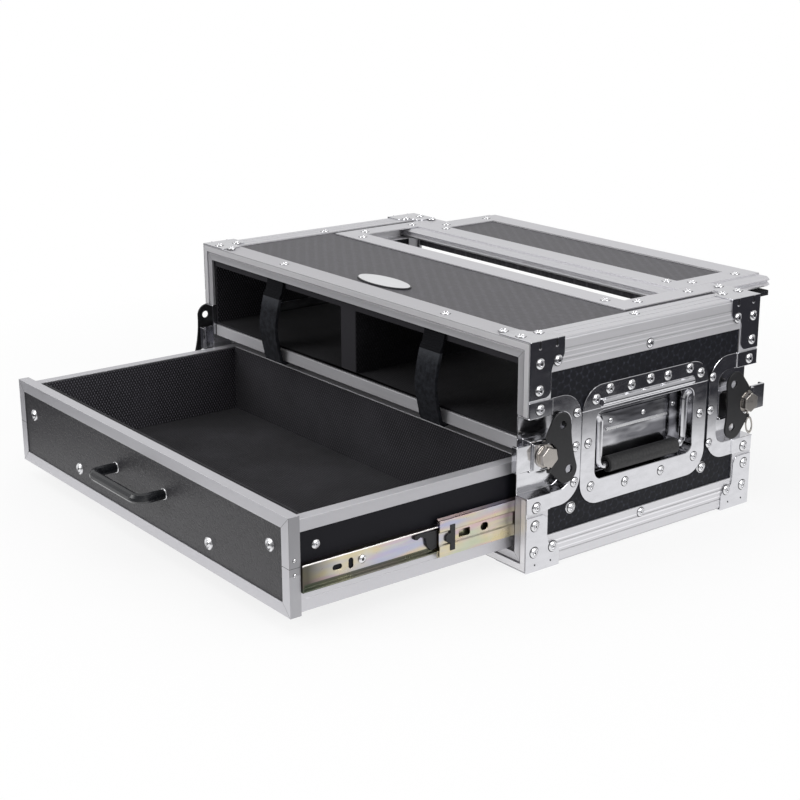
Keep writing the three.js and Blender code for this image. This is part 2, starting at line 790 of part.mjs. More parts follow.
// Latch dishes: half a recessed latch on every upright edge. The rim lies on the panel, two
// tabs step over the cut post, and a block in the cup guides the hook.
const tabOverlap = 1.6;
const blockStart = 6;
const blockReach = 44;
const hookThickness = 2.5;
const hookHeight = 24;
const hookLevel = -2.5;
const hookPadThickness = 2.5;
const guideWall = 2.2;
const guideRise = 1.8;

function latchDish() {
  const rimHalf = latchCupHalf + latchRimWidth;
  const heightsAround = (half) => [latchCentreHeight - half, latchCentreHeight + half];
  const rimStart = frameFlange + seatGap;
  const rim = roundedRectangle([rimStart, latchRimReach], heightsAround(rimHalf), 0, latchRimRadius);
  const wallRadius = latchCupRadius + dishWall;
  const cupOutside = roundedRectangle([0, latchCupReach + dishWall], heightsAround(latchWallHalf), 0, wallRadius);
  const cupInside = roundedRectangle([-cutOverrun, latchCupReach], heightsAround(latchCupHalf), 0, latchCupRadius);
  const tab = roundedRectangle([braceInset, rimStart + tabOverlap], heightsAround(rimHalf), 0);
  const step = roundedRectangle([rimStart, rimStart + tabOverlap], heightsAround(rimHalf), 0);
  const body = join(
    sidePlate(rim, [rimInner, rimOuter]),
    sidePlate(tab, [halfWidth, halfWidth + dishWall]),
    sidePlate(step, [rimInner, halfWidth + dishWall]),
    sidePlate(cupOutside, [latchFloorInner, rimOuter]),
    block(
      [latchFloorInner, halfWidth + dishWall],
      [0, rimStart + tabOverlap],
      heightsAround(latchWallHalf),
    ),
  );
  const hollow = cut(body, sidePlate(cupInside, [halfWidth - latchCupDepth, halfWidth + cutOverrun]));
  const floorLevel = halfWidth - latchCupDepth;
  const hookUnder = halfWidth + hookLevel - hookThickness;
  const channelHalf = hookHeight / 2 + seatGap;
  const guide = cut(
    block(
      [floorLevel - dishWall / 2, hookUnder + guideRise],
      [blockStart, blockReach],
      heightsAround(channelHalf + guideWall),
    ),
    block(
      [hookUnder - seatGap, halfWidth],
      [0, latchCupReach],
      heightsAround(channelHalf),
    ),
  );
  return join(hollow, guide);
}

const latchBase = latchDish();
ends.forEach(({ end, rear }) => sides.forEach(({ side, left }) => {
  addMesh(shell, `latch_dish_${end}_${side}`, reflected(latchBase, { left, rear }), platedSteel);
}));

// Butterfly latch: the hook slides in the dish, the spindle turns in the hook and the wing
// folds to either side on a cross pin through the spindle's head. Each piece is drawn for the
// right front latch, a along Y from the spindle, b along Z and n outward from the case.
const hookTipReach = 30;
const hookTailReach = 14;
const hookLipDepth = 6.5;
const hookPadFront = 12;
const stemRadius = 4;
const discRadius = 10.8;
const discThickness = 1.6;
const headRadius = 9.6;
const headSides = 6;
const headTop = 8;
const wingLevel = 3.2;
const wingThickness = 2;
const wingNotch = 12;
const wingEarEnd = 15.5;
const wingLobeRadius = 12;
const wingLobeAcross = 20;
const wingLobeUp = 21.5;
const wingWaist = 28.5;
const wingHoleAcross = 22.5;
const wingHoleRadius = 3.9;
const crossPinRadius = 1.1;
const crossPinGap = 0.25;
const knuckleRadius = 2.2;

function hookPlate() {
  const half = hookHeight / 2;
  const plateSpan = [hookLevel - hookThickness, hookLevel];
  const body = join(
    block(plateSpan, [-hookTipReach, hookTailReach], [-half, half]),
    block([hookLevel - hookLipDepth, hookLevel], [-hookTipReach, hookThickness - hookTipReach], [-half, half]),
    block(
      [hookLevel - hookThickness / 2, hookLevel + hookPadThickness],
      [-hookPadFront, hookTailReach - seatGap],
      [seatGap - half, half - seatGap],
    ),
  );
  return cut(body, roundBar(xAxis, stemRadius + seatGap, [-latchCupDepth, latchCupDepth]));
}

function spindle() {
  const discBase = hookLevel + hookPadThickness + seatGap;
  const discTop = discBase + discThickness;
  return join(
    roundBar(xAxis, stemRadius, [hookLevel - hookThickness, discTop]),
    roundBar(xAxis, discRadius, [discBase, discTop], [0, 0, 0], sleeveSteps),
    roundBar(xAxis, headRadius, [discTop - dishWall, headTop], [0, 0, 0], headSides),
    roundBar(zAxis, crossPinRadius, [-wingEarEnd, wingEarEnd], [wingLevel, 0, 0], curveSteps * 2),
  );
}

function wingOutline() {
  const shape = new THREE.Shape();
  const lobeAngle = Math.atan2(wingLobeUp, wingLobeAcross) + Math.acos(wingLobeRadius / (wingLobeRadius * 2));
  shape.moveTo(0, wingNotch);
  shape.lineTo(0, wingEarEnd);
  shape.absarc(wingLobeAcross, wingLobeUp, wingLobeRadius, lobeAngle + quarterTurn / 3, 0, true);
  shape.quadraticCurveTo(wingWaist, 0, wingLobeAcross + wingLobeRadius, -wingLobeUp);
  shape.absarc(wingLobeAcross, -wingLobeUp, wingLobeRadius, 0, -lobeAngle - quarterTurn / 3, true);
  shape.lineTo(0, -wingEarEnd);
  shape.lineTo(0, -wingNotch);
  shape.absarc(0, 0, wingNotch, -quarterTurn, quarterTurn, false);
  [1, -1].forEach((sign) => {
    const hole = new THREE.Path();
    hole.absarc(wingHoleAcross, sign * wingLobeUp, wingHoleRadius, 0, 2 * halfTurn, false);
    shape.holes.push(hole);
  });
  return shape;
}

function wing() {
  const plate = sidePlate(wingOutline(), [-wingThickness / 2, wingThickness / 2]);
  const knuckles = [1, -1].map((sign) => roundBar(
    zAxis,
    knuckleRadius,
    sign > 0 ? [wingNotch + seatGap, wingEarEnd] : [-wingEarEnd, -wingNotch - seatGap],
    [0, 0, 0],
    curveSteps * 2,
  ));
  const bore = roundBar(zAxis, crossPinRadius + crossPinGap, [-caseHeight, caseHeight], [0, 0, 0], curveSteps * 2);
  return cut(join(plate, ...knuckles), bore);
}

// Where each spindle stands from its edge, how far its wing leans and which way it lies: the
// front hooks are drawn in, the rear ones stand out over the edge.
const spindleInset = 20;
const hookTravel = 8.5;
const degree = halfTurn / 180;
const latchStates = [
  { end: 'front', side: 'right', lean: 11, out: false, flipped: false },
  { end: 'front', side: 'left', lean: 7, out: false, flipped: true },
  { end: 'rear', side: 'right', lean: 0, out: true, flipped: false },
  { end: 'rear', side: 'left', lean: 0, out: true, flipped: false },
];

latchStates.forEach(({ end, side, lean, out, flipped }) => {
  const mirror = { left: side === 'left', rear: false };
  const turned = (geometry) => {
    const copy = reflected(geometry, mirror);
    return end === 'rear' ? copy.scale(1, -1, 1) : copy;
  };
  const across = side === 'left' ? -halfWidth : halfWidth;
  const inset = spindleInset - (out ? hookTravel : 0);
  const hook = new THREE.Group();
  hook.position.set(across, end === 'rear' ? caseDepth - inset : inset, latchCentreHeight);
  shell.add(hook);
  addMesh(hook, `latch_hook_${end}_${side}`, turned(hookPlate()), platedSteel);
  const turn = new THREE.Group();
  turn.rotation.x = (flipped ? -lean : lean) * degree;
  hook.add(turn);
  addMesh(turn, `latch_spindle_${end}_${side}`, turned(spindle()), dullSteel);
  const fold = new THREE.Group();
  fold.position.x = side === 'left' ? -wingLevel : wingLevel;
  fold.rotation.z = flipped ? halfTurn : 0;
  turn.add(fold);
  addMesh(fold, `latch_wing_${end}_${side}`, turned(wing()), blackSteel);
});

// Sliding hatch. It is drawn closed and then slid to the rear. The trim's tongue runs on the
// front and both sides; its rear rail has the tongued profile of the case's frame.
const hatchTrimFlange = 25.5;
const tongueReach = 14.4;
const tongueShoulder = 10;
const tongueValley = 11.2;
const tongueDrop = 10.2;
const tongueLobeShares = [0.24, 0.5, 0.75];
const hatchBoardInset = 3;
const hatchFoamThickness = 10;
const hatchFoamInset = 1.5;
const hatchFoot = 12;

const hatchOuter = hatchOpeningHalf - seatGap;
const hatchFront = hatchOpeningFront + seatGap;
const hatchBoardTop = caseHeight - profileWall;
const hatchBoardUnder = hatchBoardTop - panelThickness;
const tongueTop = topUnderside - seatGap;
const tongueBottom = tongueTop - tongueDrop;
const hatchTongueSection = [
  [-hatchTrimFlange, caseHeight],
  [0, caseHeight],
  [0, tongueTop],
  [tongueShoulder, tongueTop],
  [tongueReach, tongueTop - tongueDrop * tongueLobeShares[0]],
  [tongueValley, tongueTop - tongueDrop * tongueLobeShares[1]],
  [tongueReach, tongueTop - tongueDrop * tongueLobeShares[2]],
  [tongueValley, tongueBottom],
  [-hatchFoot, tongueBottom],
  [-hatchFoot, hatchBoardUnder],
  [-hatchBoardInset, hatchBoardUnder],
  [-hatchBoardInset, hatchBoardTop],
  [-hatchTrimFlange, hatchBoardTop],
];
const hatch = new THREE.Group();
hatch.position.y = hatchTravel;
shell.add(hatch);

const hatchRearRail = sweep(frameSection, [
  (u, v) => [-hatchOuter + hatchBoardInset, caseDepth - v, caseHeight - u],
  (u, v) => [hatchOuter - hatchBoardInset, caseDepth - v, caseHeight - u],
]);
addMesh(
  hatch,
  'hatch_trim',
  join(
    sweep(hatchTongueSection, [
      (s, z) => [hatchOuter + s, caseDepth, z],
      (s, z) => [hatchOuter + s, hatchFront - s, z],
      (s, z) => [-hatchOuter - s, hatchFront - s, z],
      (s, z) => [-hatchOuter - s, caseDepth, z],
    ]),
    hatchRearRail,
  ),
  aluminium,
);
const hatchBoardHalf = hatchOuter - hatchBoardInset;
const hatchFoamHalf = hatchOuter - hatchFoamInset;
const hatchCoreHalf = hatchOuter - hatchFoot - seatGap;
const hatchCoreRear = caseDepth - panelStart - channelLip - seatGap;
addMesh(
  hatch,
  'hatch_board',
  join(
    block(
      [-hatchBoardHalf, hatchBoardHalf],
      [hatchFront + hatchBoardInset, caseDepth - panelStart],
      [hatchBoardUnder, hatchBoardTop],
    ),
    block(
      [-hatchCoreHalf, hatchCoreHalf],
      [hatchFront + hatchFoot + seatGap, hatchCoreRear],
      [tongueBottom - hatchFoamThickness, hatchBoardUnder],
    ),
    block(
      [-hatchFoamHalf, hatchFoamHalf],
      [hatchFront + hatchFoamInset, hatchCoreRear],
      [tongueBottom - hatchFoamThickness, tongueBottom],
    ),
  ),
  laminate,
);

// Drawer. It is drawn closed and then pulled out. The front is a laminated board in a mitred
// channel; the box behind it has angle trim on its rim, foot and rear corners.
const drawerInset = 3;
const drawerSideGap = 4;
const drawerFootGap = 0.5;
const drawerHeadGap = 8.2;
const frontTrimWall = 1;
const frontTrimFace = 11;
const slideSpace = 12.4;
const boxRearGap = 30;
const boxLift = 2.7;
const boxHeadDrop = 5.5;
const boxWall = 9;
const boxFloor = 6;
const boxLining = 3;
const boxTrimWall = 1;
const boxTrimLeg = 11;
const outerHalf = 19.6;
const slideCupGap = 0.7;
const innerHalf = 12;
const pullSpacing = 90;
const pullProjection = 26;
const pullRadius = 4.8;
const pullRise = 4.15;
const pullOffset = 0.6;
const pullBend = 9.6;

const drawer = new THREE.Group();
drawer.position.y = -drawerTravel;
shell.add(drawer);
const frontHalf = halfWidth - frameFace - drawerSideGap;
const drawerFrontLow = frameFace + drawerFootGap;
const drawerFrontHigh = shelfHeight - drawerHeadGap;
const pullHeight = (drawerFrontLow + drawerFrontHigh) / 2 + pullRise;
const boxHalf = panelInner - slideSpace;
const boxLow = drawerFrontLow + boxLift;
const boxHigh = drawerFrontHigh - boxHeadDrop;
const slideCentre = handleCupHeights[0] - dishWall - slideCupGap - outerHalf;
const frontTrimDepth = panelThickness + 2 * frontTrimWall;
const drawerPanelFace = drawerInset + frontTrimWall;
const boxFront = drawerInset + frontTrimDepth;
const boxRear = caseDepth - boxRearGap;

addMesh(
  drawer,
  'drawer_front',
  block(
    [frontTrimWall - frontHalf, frontHalf - frontTrimWall],
    [drawerPanelFace, drawerPanelFace + panelThickness],
    [drawerFrontLow + frontTrimWall, drawerFrontHigh - frontTrimWall],
  ),
  laminate,
);
const frontTrimSection = [
  [0, 0],
  [frontTrimFace, 0],
  [frontTrimFace, frontTrimWall],
  [frontTrimWall, frontTrimWall],
  [frontTrimWall, frontTrimDepth - frontTrimWall],
  [frontTrimFace, frontTrimDepth - frontTrimWall],
  [frontTrimFace, frontTrimDepth],
  [0, frontTrimDepth],
];
addMesh(
  drawer,
  'drawer_front_trim',
  sweep(frontTrimSection, [
    (u, v) => [frontHalf - u, drawerInset + v, drawerFrontLow + u],
    (u, v) => [frontHalf - u, drawerInset + v, drawerFrontHigh - u],
    (u, v) => [u - frontHalf, drawerInset + v, drawerFrontHigh - u],
    (u, v) => [u - frontHalf, drawerInset + v, drawerFrontLow + u],
  ], true),
  aluminium,
);

const boxHollowHalf = boxHalf - boxWall;
const boxHollowDepths = [boxFront + boxWall, boxRear - boxWall];
addMesh(
  drawer,
  'drawer_box',
  cut(
    block([-boxHalf, boxHalf], [boxFront, boxRear], [boxLow, boxHigh]),
    block([-boxHollowHalf, boxHollowHalf], boxHollowDepths, [boxLow + boxFloor, boxHigh + cutOverrun]),
  ),
  boardEdge,
);
addMesh(
  drawer,
  'drawer_lining',
  cut(
    block([-boxHollowHalf, boxHollowHalf], boxHollowDepths, [boxLow + boxFloor, boxHigh]),
    block(
      [boxLining - boxHollowHalf, boxHollowHalf - boxLining],
      [boxHollowDepths[0] + boxLining, boxHollowDepths[1] - boxLining],
      [boxLow + boxFloor + boxLining, boxHigh + cutOverrun],
    ),
  ),
  foam,
);

const angleSection = [
  [0, 0],
  [boxTrimLeg, 0],
  [boxTrimLeg, boxTrimWall],
  [boxTrimWall, boxTrimWall],
  [boxTrimWall, boxTrimLeg],
  [0, boxTrimLeg],
];
const trimOuter = boxHalf + boxTrimWall;
const trimRear = boxRear + boxTrimWall;
const trimAround = (heightAt) => sweep(angleSection, [
  (s, t) => [trimOuter - s, boxFront, heightAt(t)],
  (s, t) => [trimOuter - s, trimRear - s, heightAt(t)],
  (s, t) => [s - trimOuter, trimRear - s, heightAt(t)],
  (s, t) => [s - trimOuter, boxFront, heightAt(t)],
]);
const trimTop = boxHigh + boxTrimWall;
const trimFoot = boxLow - boxTrimWall;
const rearCorner = cut(
  sweep(angleSection, [
    (s, t) => [trimOuter - s, trimRear - t, trimFoot],
    (s, t) => [trimOuter - s, trimRear - t, trimTop],
  ]),
  block(
    [boxHalf - cutOverrun, trimOuter + cutOverrun],
    [0, trimRear - boxTrimWall + seatGap],
    [slideCentre - innerHalf - seatGap, slideCentre + innerHalf + seatGap],
  ),
);
addMesh(
  drawer,
  'drawer_edge_trim',
  join(
    trimAround((t) => trimTop - t),
    trimAround((t) => trimFoot + t),
    rearCorner,
    reflected(rearCorner, { left: true }),
  ),
  aluminium,
);

// The pull is a bent bar screwed on from behind, drawn in a Y-Z plane and then laid down.
function pullBar() {
  const half = pullSpacing / 2;
  const corners = [[-half, 0], [-half, -pullProjection], [half, -pullProjection], [half, 0]];
  const layFlat = new THREE.Matrix4().makeBasis(zAxis, xAxis, yAxis);
  return bentBar(corners, pullBend, pullRadius)
    .applyMatrix4(layFlat)
    .translate(pullOffset, drawerPanelFace, pullHeight);
}
addMesh(drawer, 'drawer_pull', pullBar(), pullCoat);

// Ball-bearing slides: an outer member on the case, an inner member on the drawer and a middle
// member between them whose two rows of bearings run in both. Sections are drawn in X and
// height from the slide's centre line, for the right-hand side.
const slideStart = 18;
const slideRearGap = 26;
const slideLength = caseDepth - slideStart - slideRearGap;
const slideSheet = 1.2;
const middleHalf = 16.5;
const outerLip = 8.5;
const innerLip = 5.9;
const middleShortfall = 20;
const middleLength = slideLength - middleShortfall;
const middleStart = 35;
const middleWebHalf = 6.5;
const middleWebInset = 6.2;
const middleBandInset = 4.9;
const middleLipInset = 9.8;
const bearingRow = 2.2;
const bearingInset = 8.6;
const slotHeight = 4.8;
const slotLength = 9.4;
const levelSlotStart = 32.5;
const uprightSlotStart = 48.5;
const middleSlotHeight = 7;
const squareSlotStart = 22;
const squareSlotLength = 12.5;
const squareSlotRadius = 1.5;
const roundSlotStart = 46.5;
const roundSlotLength = 8.5;
const roundSlotRadius = 3.4;
const middleWebOuter = panelInner - middleWebInset;
const middleBandOuter = panelInner - middleBandInset;
const middleLipInner = panelInner - middleLipInset;
const bearingAcross = panelInner - bearingInset;

function channelProfile([back, lipEnd], half, sheet) {
  const inward = Math.sign(lipEnd - back);
  return [
    [back, -half],
    [lipEnd, -half],
    [lipEnd, sheet - half],
    [back + inward * sheet, sheet - half],
    [back + inward * sheet, half - sheet],
    [lipEnd, half - sheet],
    [lipEnd, half],
    [back, half],
  ];
}

const slideBar = (section, [from, to]) => sweep(section, [
  (x, h) => [x, from, slideCentre + h],
  (x, h) => [x, to, slideCentre + h],
]);

function middleProfile() {
  const web = middleWebHalf;
  const band = middleHalf - slideSheet;
  const bandInner = middleBandOuter - slideSheet;
  const webInner = middleWebOuter - slideSheet;
  const half = (sign) => [
    [webInner, sign * web],
    [bandInner, sign * (web + slideSheet)],
    [bandInner, sign * band],
    [bearingAcross + bearingRow / 2, sign * band],
    [bearingAcross + bearingRow / 2, sign * (innerHalf + seatGap)],
    [bearingAcross - bearingRow / 2, sign * (innerHalf + seatGap)],
    [bearingAcross - bearingRow / 2, sign * band],
    [middleLipInner, sign * band],
    [middleLipInner, sign * middleHalf],
    [bearingAcross, sign * (outerHalf - slideSheet - seatGap)],
    [bearingAcross + bearingRow, sign * middleHalf],
    [middleBandOuter, sign * middleHalf],
    [middleBandOuter, sign * web],
    [middleWebOuter, sign * (web - slideSheet)],
  ];
  return [...half(1), ...half(-1).reverse()];
}

// A slot through a web, from a place along Y.
function webSlot([from, length], height, radius, across) {
  return sidePlate(
    roundedRectangle([from, from + length], [slideCentre - height / 2, slideCentre + height / 2], radius),
    across,
  );
}

function innerMember() {
  const back = boxHalf;
  const span = [boxFront + seatGap, boxFront + seatGap + slideLength];
  const rail = slideBar(channelProfile([back, back + innerLip], innerHalf, slideSheet), span);
  const endTab = block(
    [back, back + innerLip],
    [span[0], span[0] + slideSheet],
    [slideCentre - innerHalf + slideSheet, slideCentre + innerHalf - slideSheet],
  );
  const web = [back - cutOverrun, back + slideSheet + seatGap];
  const slots = [
    webSlot([span[0] + levelSlotStart, slotLength], slotHeight, slotHeight / 2, web),
    webSlot([span[0] + uprightSlotStart, slotHeight], slotLength, slotHeight / 2, web),
  ];
  return cut(join(rail, endTab), ...slots);
}

// The release lever is a moulded hook that turns on the inner member's web.
const leverStart = 115.5;
const leverLength = 24;
const leverHalf = 9.2;
const leverThickness = 2.4;
const leverPointShares = [
  [0, 0.5], [0.02, 0.8], [0.2, 0.98], [0.62, 0.9], [1, 0.86], [1, -0.9], [0.74, -1], [0.56, -0.5],
  [0.5, 0.35], [0.26, 0.6], [0.12, 0.42],
];
const leverPivotShare = 0.78;

function releaseLever() {
  const shape = outline(leverPointShares.map(([along, up]) => [
    (along - leverPivotShare) * leverLength,
    up * leverHalf,
  ]));
  const back = boxHalf + slideSheet + seatGap;
  return sidePlate(shape, [back, back + leverThickness]);
}

const middleGroup = new THREE.Group();
middleGroup.position.y = -drawerTravel / 2;
shell.add(middleGroup);
sides.forEach(({ side, left }) => {
  const outerBack = panelInner;
  const outer = slideBar(
    channelProfile([outerBack, outerBack - outerLip], outerHalf, slideSheet),
    [slideStart, slideStart + slideLength],
  );
  addMesh(shell, `slide_outer_${side}`, reflected(outer, { left }), yellowZinc);
  addMesh(drawer, `slide_inner_${side}`, reflected(innerMember(), { left }), yellowZinc);
  const middleWeb = [middleWebOuter - slideSheet - seatGap, middleWebOuter + seatGap];
  const middle = cut(
    slideBar(middleProfile(), [middleStart, middleStart + middleLength]),
    webSlot([middleStart + squareSlotStart, squareSlotLength], middleSlotHeight, squareSlotRadius, middleWeb),
    webSlot([middleStart + roundSlotStart, roundSlotLength], middleSlotHeight, roundSlotRadius, middleWeb),
  );
  addMesh(middleGroup, `slide_middle_${side}`, reflected(middle, { left }), yellowZinc);
  const leverPivot = new THREE.Group();
  leverPivot.position.set(0, boxFront + leverStart + leverLength * leverPivotShare, slideCentre);
  drawer.add(leverPivot);
  addMesh(leverPivot, `slide_lever_${side}`, reflected(releaseLever(), { left }), blackPlastic);
});

export default roadCase;
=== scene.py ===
import json
import math

import bmesh
import bpy
from mathutils import Matrix, Vector


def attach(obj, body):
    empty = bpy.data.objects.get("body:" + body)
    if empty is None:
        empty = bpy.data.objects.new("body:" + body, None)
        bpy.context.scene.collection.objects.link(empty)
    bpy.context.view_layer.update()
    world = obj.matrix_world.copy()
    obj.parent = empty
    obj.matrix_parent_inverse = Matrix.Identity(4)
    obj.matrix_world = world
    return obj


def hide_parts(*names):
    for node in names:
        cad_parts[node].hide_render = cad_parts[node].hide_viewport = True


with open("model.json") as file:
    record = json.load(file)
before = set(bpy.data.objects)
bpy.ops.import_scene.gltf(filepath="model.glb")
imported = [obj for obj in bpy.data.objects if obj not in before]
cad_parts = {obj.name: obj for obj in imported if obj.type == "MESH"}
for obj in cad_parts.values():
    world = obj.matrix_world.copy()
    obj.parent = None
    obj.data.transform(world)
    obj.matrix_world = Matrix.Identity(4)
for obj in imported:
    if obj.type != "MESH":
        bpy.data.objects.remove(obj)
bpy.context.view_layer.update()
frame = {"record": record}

# The camera stands in front of the case's right corner, a little above it. Its place and its
# lens come from the corners of the case in the photograph.
camera_data = bpy.data.cameras.new("camera")
camera_data.sensor_width = 36
camera_data.lens = 71.27
camera_data.shift_x = -0.0040
camera_data.shift_y = 0.0062
camera_data.clip_start = 0.05
camera = bpy.data.objects.new("camera", camera_data)
camera.location = (1.22212, -1.01847, 0.55607)
camera.rotation_euler = (1.268469, 0.001915, 0.913438)
bpy.context.scene.collection.objects.link(camera)
bpy.context.scene.camera = camera
bpy.context.scene.view_settings.view_transform = "Standard"


# Shader maths as plain expressions, and node trees in which one method makes every node. The
# first things that need them are the floor and the studio's air.
class Amount:
    """A number that changes over a surface. Python's operators add its Math nodes."""

    def __init__(self, nodes, socket):
        self.nodes = nodes
        self.socket = socket

    def math(self, operation, *values):
        inputs = {f"i{place}": value for place, value in enumerate(values)}
        return self.nodes.add("Math", {"operation": operation}, **inputs)

    def __add__(self, other):
        return self.math("ADD", self, other)

    def __radd__(self, other):
        return self.math("ADD", other, self)

    def __sub__(self, other):
        return self.math("SUBTRACT", self, other)

    def __rsub__(self, other):
        return self.math("SUBTRACT", other, self)

    def __mul__(self, other):
        return self.math("MULTIPLY", self, other)

    def __rmul__(self, other):
        return self.math("MULTIPLY", other, self)

    def __gt__(self, other):
        return self.math("GREATER_THAN", self, other)

    def __lt__(self, other):
        return self.math("LESS_THAN", self, other)

    def size(self):
        return self.math("ABSOLUTE", self)

    def root(self):
        return self.math("SQRT", self)

    def wave(self):
        return self.math("COSINE", self)

    def most(self, other):
        return self.math("MAXIMUM", self, other)

    def least(self, other):
        return self.math("MINIMUM", self, other)

    def rise(self, low, high):
        """0 on low's side, 1 on high's and even between them."""
        return ((self - low) * (1 / (high - low))).most(0).least(1)

    def within(self, low, high):
        return (self > low) * (self < high)

    def near(self, value, reach):
        return (self - value).size() < reach


class Nodes:
    """A node tree, to which add() adds any node from its settings and its inputs."""

    def __init__(self, tree):
        self.tree = tree

    def feed(self, socket, value):
        if isinstance(value, Amount):
            self.tree.links.new(value.socket, socket)
        elif isinstance(value, bpy.types.NodeSocket):
            self.tree.links.new(value, socket)
        elif isinstance(value, (tuple, list)) and socket.type == "RGBA":
            socket.default_value = (*value, 1)
        else:
            socket.default_value = value

    def add(self, kind, settings=None, output=0, **inputs):
        """A node; i0, i1 and so on name its inputs by place, other words by their label."""
        node = self.tree.nodes.new("ShaderNode" + kind)
        for name, value in (settings or {}).items():
            setattr(node, name, value)
        for name, value in inputs.items():
            numbered = name[0] == "i" and name[1:].isdigit()
            self.feed(node.inputs[int(name[1:]) if numbered else name.replace("_", " ")], value)
        return Amount(self, node.outputs[output])

    def split(self, vector):
        """A vector's X, Y and Z."""
        parts = self.add("SeparateXYZ", Vector=vector).socket.node.outputs
        return [Amount(self, part) for part in parts]


class Finish(Nodes):
    """A material; its shader's sockets are set by their names."""

    def __init__(self, name, **sockets):
        self.material = bpy.data.materials.new(name)
        self.material.use_nodes = True
        super().__init__(self.material.node_tree)
        self.shader = self.tree.nodes["Principled BSDF"]
        self.set(**sockets)

    def set(self, **sockets):
        for name, value in sockets.items():
            self.feed(self.shader.inputs[name.replace("_", " ")], value)

    def place(self):
        """The point's X, Y and Z in metres."""
        return self.split(self.add("TexCoord", output=3))

    def facing(self):
        """The surface's own direction, as the sizes of its X, Y and Z."""
        return [way.size() for way in self.split(self.add("NewGeometry", output=1))]

    def noise(self, scale, detail=2.0, stretch=(1, 1, 1)):
        spread = self.add("Mapping", Vector=self.add("TexCoord", output=3), Scale=stretch)
        return self.add("TexNoise", Vector=spread, Scale=scale, Detail=detail)

    def mix(self, share, first, second):
        return self.add("Mix", {"data_type": "RGBA"}, output=2, i0=share, i6=first, i7=second)

    def emboss(self, height, depth, strength=1.0):
        self.set(Normal=self.add("Bump", Height=height, Distance=depth, Strength=strength))


# The floor is white paper that keeps the case's shadow and fades into the white backdrop. What
# plated steel mirrors of it ends half a metre past the case, where the dark studio begins.
paper = Finish("studio_paper", Base_Color=(0.86, 0.86, 0.86), Roughness=0.9)
paper_x, paper_y, _ = paper.place()
paper_reach = (paper_x * paper_x + paper_y * paper_y).root()
paper_white = paper.add("Emission", Color=(1, 1, 1), Strength=1.0)
paper_dusk = paper.add("Emission", Color=(0.034, 0.034, 0.040), Strength=1.0)
paper_glow = paper_reach.rise(0.40, 0.9) * 0.18 + 0.82
paper_seen = paper.add("MixShader", i0=paper_glow, i1=paper.shader.outputs[0], i2=paper_white)
paper_mirrored = paper.add("MixShader", i0=paper_reach.rise(0.50, 0.64), i1=paper_white, i2=paper_dusk)
glossy_ray = paper.add("LightPath", output=3)
paper_lit = paper.add("MixShader", i0=glossy_ray, i1=paper.shader.outputs[0], i2=paper_mirrored)
camera_ray = paper.add("LightPath", output=0)
paper_view = paper.add("MixShader", i0=camera_ray, i1=paper_lit, i2=paper_seen)
paper.feed(paper.tree.nodes["Material Output"].inputs[0], paper_view)

floor_radius, floor_level = 9, -0.0029
floor_build = bmesh.new()
bmesh.ops.create_circle(floor_build, cap_ends=True, segments=96, radius=floor_radius)
bmesh.ops.translate(floor_build, verts=floor_build.verts, vec=(0, 0, floor_level))
floor_mesh = bpy.data.meshes.new("studio_floor")
floor_build.to_mesh(floor_mesh)
floor_build.free()
floor_mesh.materials.append(paper.material)
floor = bpy.data.objects.new("studio_floor", floor_mesh)
bpy.context.scene.collection.objects.link(floor)

# The studio's air: white to the eye, bright behind the case and dimmer on the camera's side.
world = bpy.data.worlds.new("studio")
world.use_nodes = True
bpy.context.scene.world = world
air = Nodes(world.node_tree)
air_x, air_y, _ = air.split(air.add("TexCoord", output=0))
air_behind = (air_y * 0.61 - air_x * 0.79).rise(-0.5, 0.6)
air_glow = air.add("Background", Color=(1, 1, 1), Strength=air_behind * 0.42 + 0.36)
air_white = air.add("Background", Color=(1, 1, 1), Strength=1.0)
air_view = air.add("MixShader", i0=air.add("LightPath", output=0), i1=air_glow, i2=air_white)
air.feed(air.tree.nodes["World Output"].inputs[0], air_view)


def soft_lamp(name, place, aim, width, height, watts):
    data = bpy.data.lights.new(name, "AREA")
    data.shape = "RECTANGLE"
    data.size = width
    data.size_y = height
    data.energy = watts
    lamp = bpy.data.objects.new(name, data)
    lamp.location = place
    lamp.rotation_euler = (Vector(aim) - Vector(place)).to_track_quat("-Z", "Y").to_euler()
    bpy.context.scene.collection.objects.link(lamp)


soft_lamp("lamp_above", (0.2, -0.4, 2.0), aim=(0, -0.1, 0), width=2.2, height=1.6, watts=14)
soft_lamp("lamp_front", (-0.7, -2.3, 1.0), aim=(0, -0.2, 0.1), width=1.4, height=1.0, watts=22)
soft_lamp("lamp_side", (2.4, 0.4, 0.9), aim=(0.2, 0, 0.1), width=1.4, height=0.9, watts=28)


# Aluminium extrusions: the frames round the open front and back, the ribbed edge profiles
# between them and the hatch's channel. They are satin anodised and sawn to mitres.
body_of_node = {
    node: body
    for body, nodes in frame["record"]["behaviour"]["bodies"].items()
    for node in nodes
}


def new_piece(name, build, finishes, body, smooth_below=35):
    """Turns a bmesh into a piece that rides on a body, with shading sharp at its real edges."""
    mesh = bpy.data.meshes.new(name)
    for edge in build.edges:
        edge.smooth = edge.calc_face_angle(0) < math.radians(smooth_below)
    build.to_mesh(mesh)
    build.free()
    for finish in finishes:
        mesh.materials.append(finish.material)
    piece = bpy.data.objects.new(name, mesh)
    bpy.context.scene.collection.objects.link(piece)
    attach(piece, body)
    return piece


